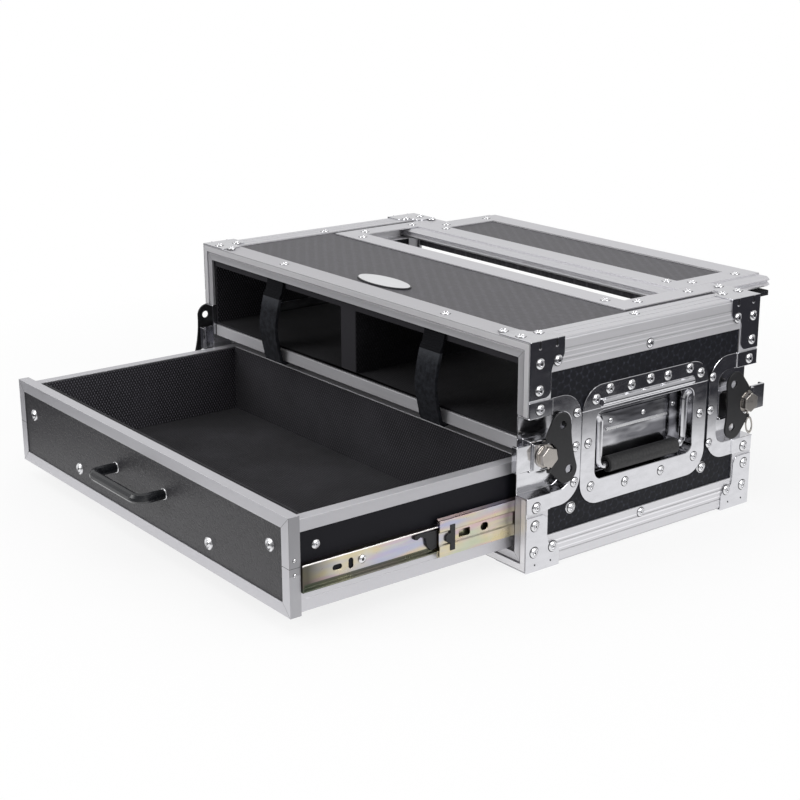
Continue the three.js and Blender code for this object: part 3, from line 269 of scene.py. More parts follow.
def eased(node, finish, width, segments=2, sharp_above=30):
    """The CAD solid with its worked edges eased by a small bevel, in place of the node.

    Faces that meet no curve are marked by their material before the bevel, and stay flat shaded.
    """
    flat_angle, sharp_angle = 0.02, math.radians(sharp_above)
    build = bmesh.new()
    build.from_mesh(bpy.data.objects[node].data)
    bmesh.ops.remove_doubles(build, verts=build.verts, dist=2e-6)
    bmesh.ops.dissolve_limit(
        build, angle_limit=0.01, use_dissolve_boundaries=False, verts=build.verts,
        edges=build.edges, delimit=set())
    bmesh.ops.connect_verts_concave(build, faces=build.faces[:])
    worked = [edge for edge in build.edges if edge.calc_face_angle(0) > sharp_angle]
    for face in build.faces:
        angles = [edge.calc_face_angle(0) for edge in face.edges]
        face.material_index = int(all(angle < flat_angle or angle > sharp_angle for angle in angles))
    bmesh.ops.bevel(
        build, geom=worked, offset=width, offset_type="OFFSET", affect="EDGES", segments=segments,
        profile=0.5, material=-1, clamp_overlap=False, miter_outer="ARC")
    for face in build.faces:
        face.smooth = face.material_index == 0
        face.material_index = 0
    piece = new_piece(node + "_eased", build, [finish], body_of_node[node])
    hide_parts(node)
    weight = piece.modifiers.new("weight", "WEIGHTED_NORMAL")
    weight.keep_sharp = True
    return piece


def anodised(name, tone, half, foot, top, face_y, face_width, end_shade_and_seam=False):
    """Drawn aluminium: fine lines along the bar, shadow in its grooves and a hair of it at mitres.

    The frame's outer edges stand half, foot and top metres off; face_y tells its face apart. On the
    case's own profiles painted highlights run along the ribs and the tongue, with painted shade in the
    recess, at the very edge and on the front top; with end_shade_and_seam the drawer's get painted
    shade on their end faces and a dark seam.
    """
    side_width, side_reach, post_width, rail_height = 0.0295, 0.121, 0.0155, 0.0151
    shadow, seam_tone, end_shade_colour = (0.12, 0.12, 0.13), (0.10, 0.10, 0.11), (0.20, 0.20, 0.21)
    finish = Finish(name, Metallic=0.62, IOR=1.5, Specular_IOR_Level=0.6)
    x, y, z = finish.place()
    face_x, face_y_way, face_z = finish.facing()
    inward, down, up = half - x.size(), top - z, z - foot
    side_bar = (x.size() > half - side_width) * (y.size() < side_reach)
    post = (x.size() > half - post_width) * (y.size() > side_reach)
    post = post * z.within(foot + rail_height, top - rail_height)
    along_x = finish.noise(1.0, 3, (9, 900, 900))
    along_y = finish.noise(1.0, 3, (900, 9, 900))
    along_z = finish.noise(1.0, 3, (900, 900, 9))
    drawn = side_bar * along_y + post * along_z + (1 - side_bar) * (1 - post) * along_x
    cloud = finish.noise(14, 3)
    worn = finish.noise(160, 2) * 0.5 + cloud * 0.5
    shade = finish.mix(drawn.rise(0.25, 0.75) * 0.45 + cloud * 0.3, [c * 0.90 for c in tone], tone)
    groove = (inward.within(0.0002, 0.0008) * 0.32).most(down.within(0.0002, 0.0008) * 0.12)
    shade = finish.mix(side_bar * groove, shade, shadow)
    mitre = (inward - down).near(0, 0.00022).most((inward - up).near(0, 0.00022))
    on_face = (inward < face_width) * (y.size() > face_y)
    shade = finish.mix(mitre * on_face, shade, shadow)
    if end_shade_and_seam:
        seam_height, end_height = 0.0568, 0.05
        # Painted shade on the end faces, more on the front trim and on their upper part; then a dark
        # seam.
        painted_end_shade = (face_x > 0.7) * ((y.size() > face_y) * 0.5 + (z > end_height) * 0.25)
        shade = finish.mix(painted_end_shade, shade, end_shade_colour)
        shade = finish.mix(z.near(seam_height, 0.00025) * on_face, shade, seam_tone)
    else:
        tongue, recess_start, recess_floor, recess_end = 0.0065, 0.0066, 0.0080, 0.0150
        crest_line, crest_front, crest_depth = 0.0007, -0.120, 0.001
        # Painted highlights along the ribs of the side bars.
        rib_glints = [down.near(at, 0.0005).most(up.near(at, 0.0005)) for at in (0.0136, 0.0180, 0.0224)]
        rib_highlight = rib_glints[0].most(rib_glints[1]).most(rib_glints[2]) * side_bar * (face_x > 0.7)
        shade = finish.mix(rib_highlight * 0.7, shade, (0.90, 0.89, 0.92))
        # On the open faces: a painted highlight along the tongue, painted shade in the recess behind it
        # and a painted shade line at the very edge.
        edge_reach = inward.least(down).least(up)
        open_face = (face_y_way > 0.7) * (y.size() > face_y)
        shade = finish.mix(open_face * (edge_reach < tongue) * 0.9, shade, (0.90, 0.89, 0.91))
        recess_shade = edge_reach.rise(recess_end, recess_floor) * (edge_reach > recess_start)
        shade = finish.mix(open_face * recess_shade * 0.45, shade, (0.34, 0.33, 0.34))
        shade = finish.mix(open_face * (edge_reach < crest_line) * 0.75, shade, (0.24, 0.24, 0.25))
        # Painted shade on the top of the front frame, close to its top edge.
        front_crest_shade = (face_z > 0.7) * (y < crest_front) * (down < crest_depth)
        shade = finish.mix(front_crest_shade * 0.45, shade, (0.42, 0.41, 0.43))
    finish.set(Base_Color=shade, Roughness=drawn.rise(0.2, 0.8) * 0.10 + worn * 0.10 + 0.32)
    finish.emboss(drawn, 0.00003, 0.35)
    return finish


satin_aluminium = anodised(
    "satin_aluminium", (0.68, 0.675, 0.702), half=0.2665, foot=-0.0015, top=0.2075, face_y=0.121,
    face_width=0.0152)
eased("front_frame_upper", satin_aluminium, 0.00035)
eased("base_frame", satin_aluminium, 0.00014)
eased("top_profile_right", satin_aluminium, 0.00014)
eased("top_profile_left", satin_aluminium, 0.00014)
eased("hatch_frame", satin_aluminium, 0.0003)


# Plywood boards faced with black laminate. The side boards have a fine net of cells, the top
# and the bottom slanting rows of short dashes. All slide into the edge profiles.
def netted_laminate(name, tone):
    """Laminate embossed with six-sided cells, drawn by three waves 60 degrees apart."""
    pitch, depth, half, climb = 0.0072, 0.00022, 0.5, 0.866
    finish = Finish(name, IOR=1.5, Specular_IOR_Level=0.15)
    _, y, z = finish.place()
    turn = math.tau / pitch
    level = (y * turn).wave()
    left = ((y * half + z * climb) * turn).wave()
    right = ((y * half - z * climb) * turn).wave()
    cell = (level + left + right).rise(-1.48, -0.7)
    grain = finish.noise(900, 2)
    speckle = finish.noise(260, 2)
    fleck = speckle.rise(0.40, 0.62) * (1 - cell)
    shade = finish.mix(fleck * 0.9, tone, [c * 4.0 for c in tone])
    finish.set(Base_Color=shade, Roughness=speckle * 0.12 + grain * 0.10 + 0.36)
    finish.emboss(cell * 0.8 + grain * 0.3, depth, 0.8)
    return finish


def dashed_laminate(name, tone):
    """Laminate with short raised dashes, in rows that slant across the board."""
    dash_pitch, row_pitch, depth = 0.0052, 0.00988, 0.00022
    slant_x, slant_y = 0.56, 0.83
    finish = Finish(name, IOR=1.5, Specular_IOR_Level=0.42)
    x, y, _ = finish.place()
    row = ((x * slant_x + y * slant_y) * (math.tau / row_pitch)).wave()
    dash = ((x * slant_y - y * slant_x) * (math.tau / dash_pitch)).wave()
    ridge = row.rise(0.1, 0.9) * dash.rise(-0.2, 0.6)
    grain = finish.noise(900, 2)
    speckle = finish.noise(240, 2)
    shade = finish.mix(ridge * 0.55 + speckle.rise(0.42, 0.70) * 0.5, tone, [c * 2.3 for c in tone])
    finish.set(Base_Color=shade, Roughness=speckle * 0.12 + grain * 0.10 + 0.36)
    finish.emboss(ridge * 0.8 + grain * 0.35, depth, 0.8)
    return finish


side_laminate = netted_laminate("black_laminate", (0.0070, 0.0075, 0.0105))
top_laminate = dashed_laminate("black_laminate_top", (0.048, 0.046, 0.053))
for node in ("side_panel_right", "side_panel_left"):
    eased(node, side_laminate, 0.0003)
for node in ("top_panel", "bottom_panel"):
    eased(node, top_laminate, 0.0003)


# Corner braces: 1.2 mm steel, blanked, folded over the edge and bright plated. Beside the fold
# each has two slots left by the press, and each lower one two small locating holes.
def plated(name, tone=(0.70, 0.70, 0.73), rough=0.07, wave=0.00025, cup_shade_share=1.0):
    """Bright plating, rippled; cup_shade_share is how far painted shade darkens the sunk floors of the
    handles.
    """
    cup_mouth, cup_depth, cup_bottom, cup_half_length, cup_top = 0.2600, 0.004, 0.24, 0.09, 0.1375
    finish = Finish(name, Metallic=1.0, IOR=1.5)
    x, y, z = finish.place()
    swell = finish.noise(26, 2)
    smear = finish.noise(70, 4, (1, 1, 2.2))
    fleck = finish.noise(1400, 1)
    streak = finish.noise(1.0, 2, (1, 16, 55))
    in_cup = (x.size() > cup_bottom) * (y.size() < cup_half_length) * (z < cup_top)
    handle_cup_shade = (cup_mouth - x.size()).rise(0, cup_depth) * in_cup * cup_shade_share
    shade = finish.mix(smear.rise(0.35, 0.75) * 0.5, tone, [c * 0.84 for c in tone])
    # Painted shade on the sunk floors of the handle cups, broken by lighter streaks of painted
    # reflection.
    shade = finish.mix(handle_cup_shade * (streak.rise(0.60, 0.46) * 0.6 + 0.3), shade, (0.10, 0.10, 0.115))
    finish.set(Base_Color=shade, Roughness=smear.rise(0.3, 0.8) * 0.12 + fleck * 0.03 + rough)
    finish.emboss(swell + handle_cup_shade * streak * 5.0 + fleck * 0.02, wave, 0.5)
    return finish


def thickened(build, way):
    """Gives flat faces a thickness and returns the face on the far side."""
    grown = bmesh.ops.extrude_face_region(build, geom=build.faces[:])["geom"]
    moved = [item for item in grown if isinstance(item, bmesh.types.BMVert)]
    bmesh.ops.translate(build, verts=moved, vec=way)
    bmesh.ops.recalc_face_normals(build, faces=build.faces)
    return max(build.faces, key=lambda face: face.calc_center_median().dot(Vector(way)))


def lipped_slot(radius, length, lip):
    """A pressed hole or slot, seen as a raised lip round a floor of painted shade."""
    build = bmesh.new()
    bmesh.ops.create_circle(build, cap_ends=True, segments=12, radius=(radius + lip) / 1000)
    upper = [corner for corner in build.verts if corner.co.y > 1e-6]
    bmesh.ops.translate(build, verts=upper, vec=(0, length / 1000, 0))
    top = thickened(build, (0, 0, 0.00005))
    bmesh.ops.inset_region(build, faces=[top], thickness=lip / 2000, depth=lip / 2000)
    bmesh.ops.inset_region(build, faces=[top], thickness=lip / 2000, depth=-lip / 2000)
    top.material_index = 1
    return build


half_depth, foot_height = 147, 1.5


def spot(x, y, z):
    """A point from millimetres: x from the middle, y from the front face, z from the foot."""
    return Vector((x, y - half_depth, z - foot_height)) / 1000


def placed(shape, places):
    """One mesh with a copy of the shape at each place, its Z turned to the way given there."""
    pattern = bpy.data.meshes.new("pattern")
    shape.to_mesh(pattern)
    shape.free()
    build = bmesh.new()
    for point, way in places:
        before = len(build.verts)
        build.from_mesh(pattern)
        build.verts.ensure_lookup_table()
        turn = Vector(way).to_track_quat("Z", "Y").to_matrix().to_4x4()
        bmesh.ops.transform(build, matrix=Matrix.Translation(point) @ turn, verts=build.verts[before:])
    bpy.data.meshes.remove(pattern)
    return build


def on_sides(level, points):
    """Places on both ends of the case, level millimetres from its middle, from their (y, z)."""
    return [(spot(way * level, y, z), (way, 0, 0)) for way in (1, -1) for y, z in points]


bright_plate = plated("bright_plated_steel")
# Painted shade: the floors of slots and holes, the mouths of rivets, the recesses of screws and the ring
# round the foot of each rivet head.
hole_shade = Finish("painted_hole_shade", IOR=1.4, Specular_IOR_Level=0.2)
hole_grain = hole_shade.noise(800, 1)
hole_shade.set(Base_Color=hole_shade.mix(hole_grain, (0.004, 0.004, 0.005), (0.012, 0.012, 0.013)),
              Roughness=hole_grain * 0.1 + 0.5)
for end in ("front", "rear"):
    for side in ("right", "left"):
        eased(f"brace_top_{end}_{side}", bright_plate, 0.0004)
        eased(f"brace_base_{end}_{side}", bright_plate, 0.0004)
brace_face = 267.7
brace_slots = [(11.4, 203.6), (30.7, 203.6), (263.0, 203.6), (284.0, 203.6)]
brace_holes = [(10.6, 5.2), (29.5, 5.2), (264.4, 5.8), (283.2, 5.8)]
for name, shape, points in (
        ("brace_slots", lipped_slot(radius=1.0, length=5.2, lip=0.7), brace_slots),
        ("brace_holes", lipped_slot(radius=0.8, length=0, lip=0.4), brace_holes)):
    new_piece(name, placed(shape, on_sides(brace_face, points)), [bright_plate, hole_shade], "case")


# Badge: a bare oval plate of satin silver with a dark rim, glued to the top.
badge_satin = Finish("badge_satin_silver", Metallic=0.35, IOR=1.5, Coat_Weight=0.3, Coat_Roughness=0.12)
badge_brush = badge_satin.noise(1.0, 2, (30, 1100, 30))
badge_satin.set(Base_Color=badge_satin.mix(badge_brush, (0.66, 0.66, 0.68), (0.78, 0.78, 0.80)),
                Roughness=badge_brush * 0.12 + 0.30)
badge_rim = Finish("badge_dark_rim", IOR=1.5, Specular_IOR_Level=0.5)
rim_grain = badge_rim.noise(500, 2)
badge_rim.set(Base_Color=badge_rim.mix(rim_grain, (0.012, 0.012, 0.014), (0.026, 0.026, 0.030)),
              Roughness=rim_grain * 0.1 + 0.3)
badge_half_length, badge_half_width, badge_height = 39.5, 15.6, 0.0014
badge = bmesh.new()
bmesh.ops.create_circle(badge, cap_ends=True, segments=64, radius=0.001)
bmesh.ops.scale(badge, vec=(badge_half_length, badge_half_width, 1), verts=badge.verts)
badge_face = thickened(badge, (0, 0, badge_height))
bmesh.ops.inset_region(badge, faces=[badge_face], thickness=0.0004, depth=0.0003)
for face in badge.faces:
    face.material_index = 1
bmesh.ops.inset_region(badge, faces=[badge_face], thickness=0.0009)
badge_face.material_index = 0
bmesh.ops.inset_region(badge, faces=[badge_face], thickness=0.0006, depth=0.0003)
bmesh.ops.inset_region(badge, faces=[badge_face], thickness=0.0040, depth=0.0002)
bmesh.ops.translate(badge, verts=badge.verts, vec=spot(0, 47, 207.4))
new_piece("badge", badge, [badge_satin, badge_rim], "case", smooth_below=25)


# The shelf under the bays: black-faced board whose front edge sits in a thin aluminium channel.
dark_board = Finish("black_laminated_board", IOR=1.5, Specular_IOR_Level=0.12)
board_grain = dark_board.noise(700, 2)
board_cloud = dark_board.noise(20, 3)
board_blend = board_grain * 0.5 + board_cloud * 0.5
dark_board.set(Base_Color=dark_board.mix(board_blend, (0.005, 0.005, 0.007), (0.009, 0.009, 0.0126)),
               Roughness=board_grain * 0.12 + board_cloud * 0.10 + 0.34)
dark_board.emboss(board_grain, 0.00008, 0.6)
eased("shelf_panel", dark_board, 0.0003)
eased("shelf_trim", satin_aluminium, 0.0003)


# Foam lining: sheets of black foam with a woven-dot face, glued to the boards, and the foam
# divider between the bays. Its cut edges are soft.
def dotted_foam(name, tone, gloss, sheen, floor_light_share, side_light_share, cut_ends_and_shade=0):
    """Foam with rows of raised dots, lighter than the foam between them. Floors and side faces show
    less of them, by their light shares, so painted shade darkens those faces.

    cut_ends_and_shade is 1 where the edges that face the front are cut plain, the rear lies in
    painted shadow and painted shade darkens the walls beside the divider.
    """
    dot_pitch, row_share, rear, mouth, divider_reach = 0.0032, 0.5774, -0.02, -0.12, 0.05
    finish = Finish(name, IOR=1.4, Specular_IOR_Level=gloss, Sheen_Weight=sheen, Sheen_Roughness=0.5)
    x, y, z = finish.place()
    face_x, face_y, face_z = finish.facing()
    turn = math.tau / dot_pitch
    endways = face_x > 0.6
    level = face_z > 0.6
    cut_end = (face_y > 0.6) * cut_ends_and_shade
    across = (x * (1 - endways) + y * endways) * turn
    up = (z * (1 - level) + y * level) * turn * row_share
    dot = (across.wave() * up.wave()).rise(0.05, 0.75) * (1 - cut_end)
    fuzz = finish.noise(1500, 2)
    cloud = finish.noise(18, 2).rise(0.35, 0.7)
    # Painted shade by facing: floors and side faces keep only their light share of the lit dots.
    dots_with_painted_shade = dot * (1 - level * (1 - floor_light_share)) * (1 - (1 - endways) * (1 - side_light_share))
    # Painted shadow deepening towards the rear, and painted shade on the walls beside the divider.
    if cut_ends_and_shade:
        dots_with_painted_shade = dots_with_painted_shade * y.rise(rear, mouth) * (1 - endways * (x.size() < divider_reach) * 0.85)
    shade = finish.mix(dots_with_painted_shade, [c * 0.20 for c in tone], [c * 1.7 for c in tone])
    shade = finish.mix(cloud * 0.25, shade, [c * 0.8 for c in tone])
    shade = finish.mix(cut_end, shade, (0.030, 0.029, 0.033))
    finish.set(Base_Color=shade, Roughness=fuzz * 0.15 + 0.74)
    finish.emboss(dot + fuzz * 0.25, 0.0004, 0.9)
    return finish


bay_foam = dotted_foam(
    "black_foam_bays", (0.055, 0.054, 0.062), gloss=0.06, sheen=0.03, floor_light_share=0.03, side_light_share=0.4,
    cut_ends_and_shade=1)
eased("bay_lining", bay_foam, 0.0012, segments=3)


# Hook-and-loop straps: each hangs from under the top rail, bows out in front of the bay and
# returns under the shelf. Below its plain web the fuzzy half lies over it.
web_rib_pitch, web_lap_foot, web_lap_top = 0.0022, 0.1620, 0.1745
webbing = Finish(
    "black_webbing", IOR=1.4, Specular_IOR_Level=0.12, Sheen_Weight=0.06, Sheen_Roughness=0.4)
_, _, web_z = webbing.place()
web_rib = (web_z * (math.tau / web_rib_pitch)).wave() * 0.5 + 0.5
web_fuzz = webbing.noise(1100, 3)
web_felt = webbing.noise(210, 3).rise(0.35, 0.68)
web_doubled = web_z < web_lap_top
web_lap = web_z.rise(web_lap_foot, web_lap_top) * web_doubled
web_shade = webbing.mix(web_fuzz.rise(0.3, 0.8), (0.0015, 0.0016, 0.0025), (0.0060, 0.0062, 0.0085))
web_shade = webbing.mix(web_doubled * (web_felt * 0.6 + 0.2), web_shade, (0.024, 0.026, 0.032))
web_shade = webbing.mix(web_lap * 0.7, web_shade, (0.050, 0.053, 0.060))
webbing.set(Base_Color=web_shade, Roughness=web_fuzz * 0.2 + 0.72)
web_relief = web_rib * (1 - web_doubled) * 0.5 + web_fuzz * (web_doubled * 0.8 + 0.4)
webbing.emboss(web_relief, 0.0005, 0.8)
for node in ("strap_left", "strap_right"):
    eased(node, webbing, 0.0005)


# Recessed handles: a cover plate and a cup with a ridge pressed along its floor, riveted to the
# side board, a bent bail that a spring holds flat, and a ribbed rubber sleeve on its grip.
grip_rubber = Finish("black_grip_rubber", IOR=1.5, Specular_IOR_Level=0.4)
_, grip_y, _ = grip_rubber.place()
grip_grain = grip_rubber.noise(500, 3)
grip_rib_pitch = 0.0035
grip_rib = (grip_y * (math.tau / grip_rib_pitch)).wave().rise(0.2, 0.9)
grip_rubber.set(
    Base_Color=grip_rubber.mix(grip_grain.rise(0.4, 0.75), (0.016, 0.016, 0.017), (0.032, 0.032, 0.033)),
    Roughness=grip_grain * 0.2 + 0.5)
grip_rubber.emboss(grip_grain + grip_rib * 0.3, 0.0002, 0.7)
for side in ("right", "left"):
    eased(f"handle_dish_{side}", bright_plate, 0.0006, segments=3)
    eased(f"handle_bail_{side}", bright_plate, 0.0002, segments=1, sharp_above=60)
    eased(f"handle_grip_{side}", grip_rubber, 0.0010, segments=3, sharp_above=60)


def rounded(build, width, segments):
    """Eases every edge of a plain shape."""
    bmesh.ops.bevel(
        build, geom=build.edges[:], offset=width, offset_type="OFFSET", affect="EDGES",
        segments=segments, profile=0.5, material=-1)


def bars(size, centres, ease, segments):
    """Plain bars of one size, given in millimetres, as one mesh with eased edges."""
    build = bmesh.new()
    for centre in centres:
        corners = bmesh.ops.create_cube(build, size=1)["verts"]
        bmesh.ops.scale(build, vec=Vector(size) / 1000, verts=corners)
        bmesh.ops.translate(build, vec=centre, verts=corners)
    rounded(build, ease, segments)
    return build


rivet_steel = plated("rivet_steel", (0.80, 0.80, 0.82), rough=0.17, wave=0.00005, cup_shade_share=0)
cup_face = 251.7
ridge_centres = [spot(way * cup_face, 149, 107.6) for way in (1, -1)]
new_piece("handle_cup_ridges", bars((1.8, 80.0, 3.2), ridge_centres, ease=0.0007, segments=3),
          [rivet_steel], "case")


# Butterfly latches: a pressed dish, a hook that slides in it, a spindle with a hexagon head that
# drives the hook, and a black folding wing on the spindle's cross pin. A wire eye for a lock
# stands beside each rear one.
worn_plate = plated("dull_plated_steel", (0.52, 0.49, 0.46), rough=0.24, wave=0.0001)
wing_coat = Finish("black_coated_steel", IOR=1.5, Specular_IOR_Level=0.35, Coat_Weight=0.1)
wing_grain = wing_coat.noise(420, 3)
wing_coat.set(
    Base_Color=wing_coat.mix(wing_grain, (0.007, 0.007, 0.008), (0.015, 0.015, 0.017)),
    Roughness=wing_grain * 0.12 + 0.36)
wing_coat.emboss(wing_grain, 0.00008, 0.6)
for end in ("front", "rear"):
    for side in ("right", "left"):
        eased(f"latch_dish_{end}_{side}", bright_plate, 0.0005)
        eased(f"latch_hook_{end}_{side}", bright_plate, 0.0004)
        eased(f"latch_spindle_{end}_{side}", worn_plate, 0.0004)
        eased(f"latch_wing_{end}_{side}", wing_coat, 0.0004)


def spun(outline, steps=16):
    """A closed shape turned about Z from its corners, given as (radius, height) in millimetres."""
    build = bmesh.new()
    corners = [build.verts.new((radius / 1000, 0, height / 1000)) for radius, height in outline]
    runs = [build.edges.new(pair) for pair in zip(corners, corners[1:])]
    bmesh.ops.spin(
        build, geom=corners + runs, cent=(0, 0, 0), axis=(0, 0, 1), angle=math.tau, steps=steps,
        use_merge=True)
    bmesh.ops.remove_doubles(build, verts=build.verts, dist=2e-7)
    bmesh.ops.recalc_face_normals(build, faces=build.faces)
    for face in build.faces:
        face.smooth = True
    return build


eye_face, eye_radius, eye_wire, eye_sides = 265.9, 4.2, 0.8, 10
eye_stretch, eye_lean = 1.9, math.radians(12)
eye_turns = [step * math.tau / eye_sides for step in range(eye_sides + 1)]
lock_eye = spun(
    [(eye_radius + eye_wire * math.cos(turn), eye_wire * math.sin(turn)) for turn in eye_turns], steps=28)
bmesh.ops.scale(lock_eye, vec=(1, eye_stretch, 1), verts=lock_eye.verts)
bmesh.ops.rotate(
    lock_eye, cent=(0, 0, 0), matrix=Matrix.Rotation(eye_lean, 3, "Z"), verts=lock_eye.verts)
new_piece("latch_lock_eyes", placed(lock_eye, on_sides(eye_face, [(290.4, 79.5)])), [worn_plate],
          "case")


# Rivets fix the braces, dishes and profiles to the boards: domed steel heads with the open mouth
# of a drive rivet. On bare laminate a wide washer lies under the head.
def rivet(share=1.0, steps=16):
    """A rivet's head, at a share of its full size; painted shade fills its mouth and rings the foot of
    its dome.
    """
    mouth_reach, dome_reach = 0.78, 4.4
    outline = [
        (0, 0.5), (0.7, 0.5), (0.8, 1.7), (1.5, 1.75), (1.8, 0.6), (2.5, 0.6), (2.8, 1.45), (3.5, 1.25),
        (4.3, 0.6), (4.4, 0.12), (4.9, 0.04), (4.95, 0), (0, -0.05)]
    build = spun([(radius * share, height * share) for radius, height in outline], steps)
    for face in build.faces:
        reach = face.calc_center_median().xy.length * 1000 / share
        face.material_index = int(reach < mouth_reach or reach > dome_reach)
    return build


def fasteners(name, shape, places, body="case", finishes=(rivet_steel, hole_shade)):
    """Like fasteners as one piece; the second finish is the painted shade of their recesses."""
    new_piece(name, placed(shape, places), finishes, body)


def on_top(level, points):
    """Places on the case's top at a height in millimetres, mirrored, from their (x, y)."""
    return [(spot(way * x, y, level), (0, 0, 1)) for way in (1, -1) for x, y in points]


profile_face, rim_face, cover_face, side_face, cup_bottom_face = 266.5, 266.4, 267.6, 265.0, 250.5
brace_rivets = [
    (11.5, 190), (32.4, 189.8), (11.2, 166.1), (10, 42.3), (9.6, 17.5), (31.7, 18.2),
    (284.2, 42.3), (283.8, 19.5), (261.3, 19), (262.7, 191.2), (284.5, 190.4), (284.4, 166.9)]
tab_rivets = [(12.8, 148.7), (11.1, 59.1), (282.5, 148.4), (281.9, 59.9)]
rim_rivets = [
    (58.1, 137.3), (57.8, 105.6), (56.9, 72.7), (233.6, 138.2), (232.9, 105.4), (233.1, 72.4),
    (217.9, 105.6), (212.5, 63.9), (168.3, 59.3), (121.3, 58.9), (77.7, 63.8), (72.9, 105.5)]
cover_rivets = [
    (79.7, 145.8), (96.2, 152.9), (123.3, 151.3), (147.5, 152.8), (170.5, 151.4), (199.6, 153.2),
    (215.1, 146.2)]
profile_rivets = [(143.7, 23.6), (146.6, 185.7)]
brace_places = on_sides(brace_face, brace_rivets + tab_rivets) + on_sides(cover_face, cover_rivets)
fasteners("rivets_braces", rivet(1.12), brace_places)
fasteners("rivets_rims", rivet(), on_sides(rim_face, rim_rivets) + on_sides(profile_face, profile_rivets))
cup_places = on_sides(cup_face, [(115, 115), (157, 115)]) + on_sides(cup_bottom_face, [(198, 115)])
fasteners("rivets_cups", rivet(0.6, steps=12), cup_places)

washer_height, washer_points = 0.85, [(54.4, 48.8), (225.1, 49.7)]
washer = spun([(0, 0.9), (4.6, 0.9), (5.5, 0.6), (5.8, 0), (0, -0.05)], steps=24)
fasteners("rivet_washers", washer, on_sides(side_face, washer_points), finishes=[rivet_steel])
fasteners("rivets_on_washers", rivet(), on_sides(side_face + washer_height, washer_points))

brace_top_face, profile_top_face = 210.2, 209.0
brace_top_rivets = [
    (222.6, 285.2), (245.5, 264.6), (246.2, 285.9), (222.6, 8.8), (245.5, 29.4), (246.2, 8.1)]
profile_top_rivets = [(245, 147), (192, 162), (214.7, 182), (215, 250)]
front_rail_rivets = [(-126.7, 13.4), (140, 11.6)]
top_places = on_top(brace_top_face, brace_top_rivets) + on_top(profile_top_face, profile_top_rivets)
top_places += [(spot(x, y, profile_top_face), (0, 0, 1)) for x, y in front_rail_rivets]
fasteners("rivets_top", rivet(), top_places)


# The hatch: a laminated board with a foam pad under it, a trim whose lobed tongue runs in the
# channel of the opening, and a rear rail like the case's own frame, with a foam strip under it.
hatch_faces = dashed_laminate("black_laminate_hatch", (0.049, 0.047, 0.054))
eased("hatch_board", hatch_faces, 0.0003)
eased("hatch_trim", satin_aluminium, 0.0003)
hatch_rivets = [(172, 266), (191, 282), (192, 344)]
fasteners("rivets_hatch", rivet(), on_top(profile_top_face, hatch_rivets), "hatch")
seal_foam = dotted_foam(
    "black_foam_hatch_seal", (0.030, 0.030, 0.036), gloss=0.06, sheen=0.03, floor_light_share=0.2,
    side_light_share=0.3)
seal = bars((434.6, 18.0, 5.5), [spot(0, 357.8, 191.1)], ease=0.0008, segments=2)
new_piece("hatch_rear_seal", seal, [seal_foam], "hatch")


# Drawer: a pebble-grained front in a mitred channel, a black-faced box with aluminium angle on
# its edges, whose foot flanges reach up to the slides, and a foam lining. Screws with cup washers
# hold the front to the box.
def pebbled_laminate(name, tone):
    finish = Finish(name, IOR=1.5, Specular_IOR_Level=0.55)
    pebble = (finish.noise(150, 3, (1, 1, 1.3)) - 0.5).size().rise(0.0, 0.05)
    grain = finish.noise(900, 2)
    shade = finish.mix(pebble, [c * 0.7 for c in tone], tone)
    finish.set(Base_Color=shade, Roughness=grain * 0.10 + pebble * 0.04 + 0.34)
    finish.emboss(pebble + grain * 0.2, 0.00030, 0.7)
    return finish


drawer_aluminium = anodised(
    "satin_aluminium_drawer", (0.60, 0.595, 0.625), half=0.2475, foot=0.0140, top=0.1005, face_y=0.37,
    face_width=0.0112, end_shade_and_seam=True)
eased("drawer_front", pebbled_laminate("black_laminate_pebbled", (0.026, 0.025, 0.029)), 0.0002)
eased("drawer_front_trim", drawer_aluminium, 0.0003)
eased("drawer_box", dark_board, 0.0003)
drawer_foam = dotted_foam(
    "black_foam_drawer", (0.085, 0.082, 0.096), gloss=0.15, sheen=0.08, floor_light_share=0.11, side_light_share=0.30)
eased("drawer_lining", drawer_foam, 0.0009, segments=3)
eased("drawer_edge_trim", drawer_aluminium, 0.0002)

flange_centres = [spot(way * 244.0, -103.9, 31.7) for way in (1, -1)]
new_piece("drawer_foot_flanges", bars((0.8, 239.0, 7.2), flange_centres, ease=0.0002, segments=1),
          [drawer_aluminium], "drawer")


def screw_head(share=1.0):
    """A pan head with a deep round recess of painted shade, standing in its washer."""
    recess_reach = 0.001
    outline = [(0, 0.9), (0.9, 0.9), (1.1, 1.7), (2.3, 1.5), (3.0, 0.9), (3.1, 0.3), (0, 0.3)]
    build = spun([(radius * share, height) for radius, height in outline])
    for face in build.faces:
        face.material_index = int(face.calc_center_median().xy.length < recess_reach)
    return build


front_face, box_side_face, trim_side_face = -233.6, 243.6, 247.5
front_screws = [(-217, 70.7), (-120.5, 40.3), (121.5, 40.3), (218.5, 70.7)]
front_places = [(spot(x, front_face, z), (0, -1, 0)) for x, z in front_screws]
cup_washer = spun(
    [(0, 0.4), (2.9, 0.4), (3.5, 1.3), (4.6, 1.6), (5.7, 0.9), (6.0, 0), (0, -0.05)], steps=24)
fasteners("drawer_cup_washers", cup_washer, front_places, "drawer", [rivet_steel])
fasteners("drawer_screws", screw_head(), front_places, "drawer")
fasteners("drawer_side_rivets", rivet(0.95), on_sides(box_side_face, [(-206.2, 72.3)]), "drawer")
trim_screws = [(-229.4, 64.9), (-229.4, 52.0)]
fasteners("drawer_trim_screws", rivet(0.4, steps=12), on_sides(trim_side_face, trim_screws), "drawer")


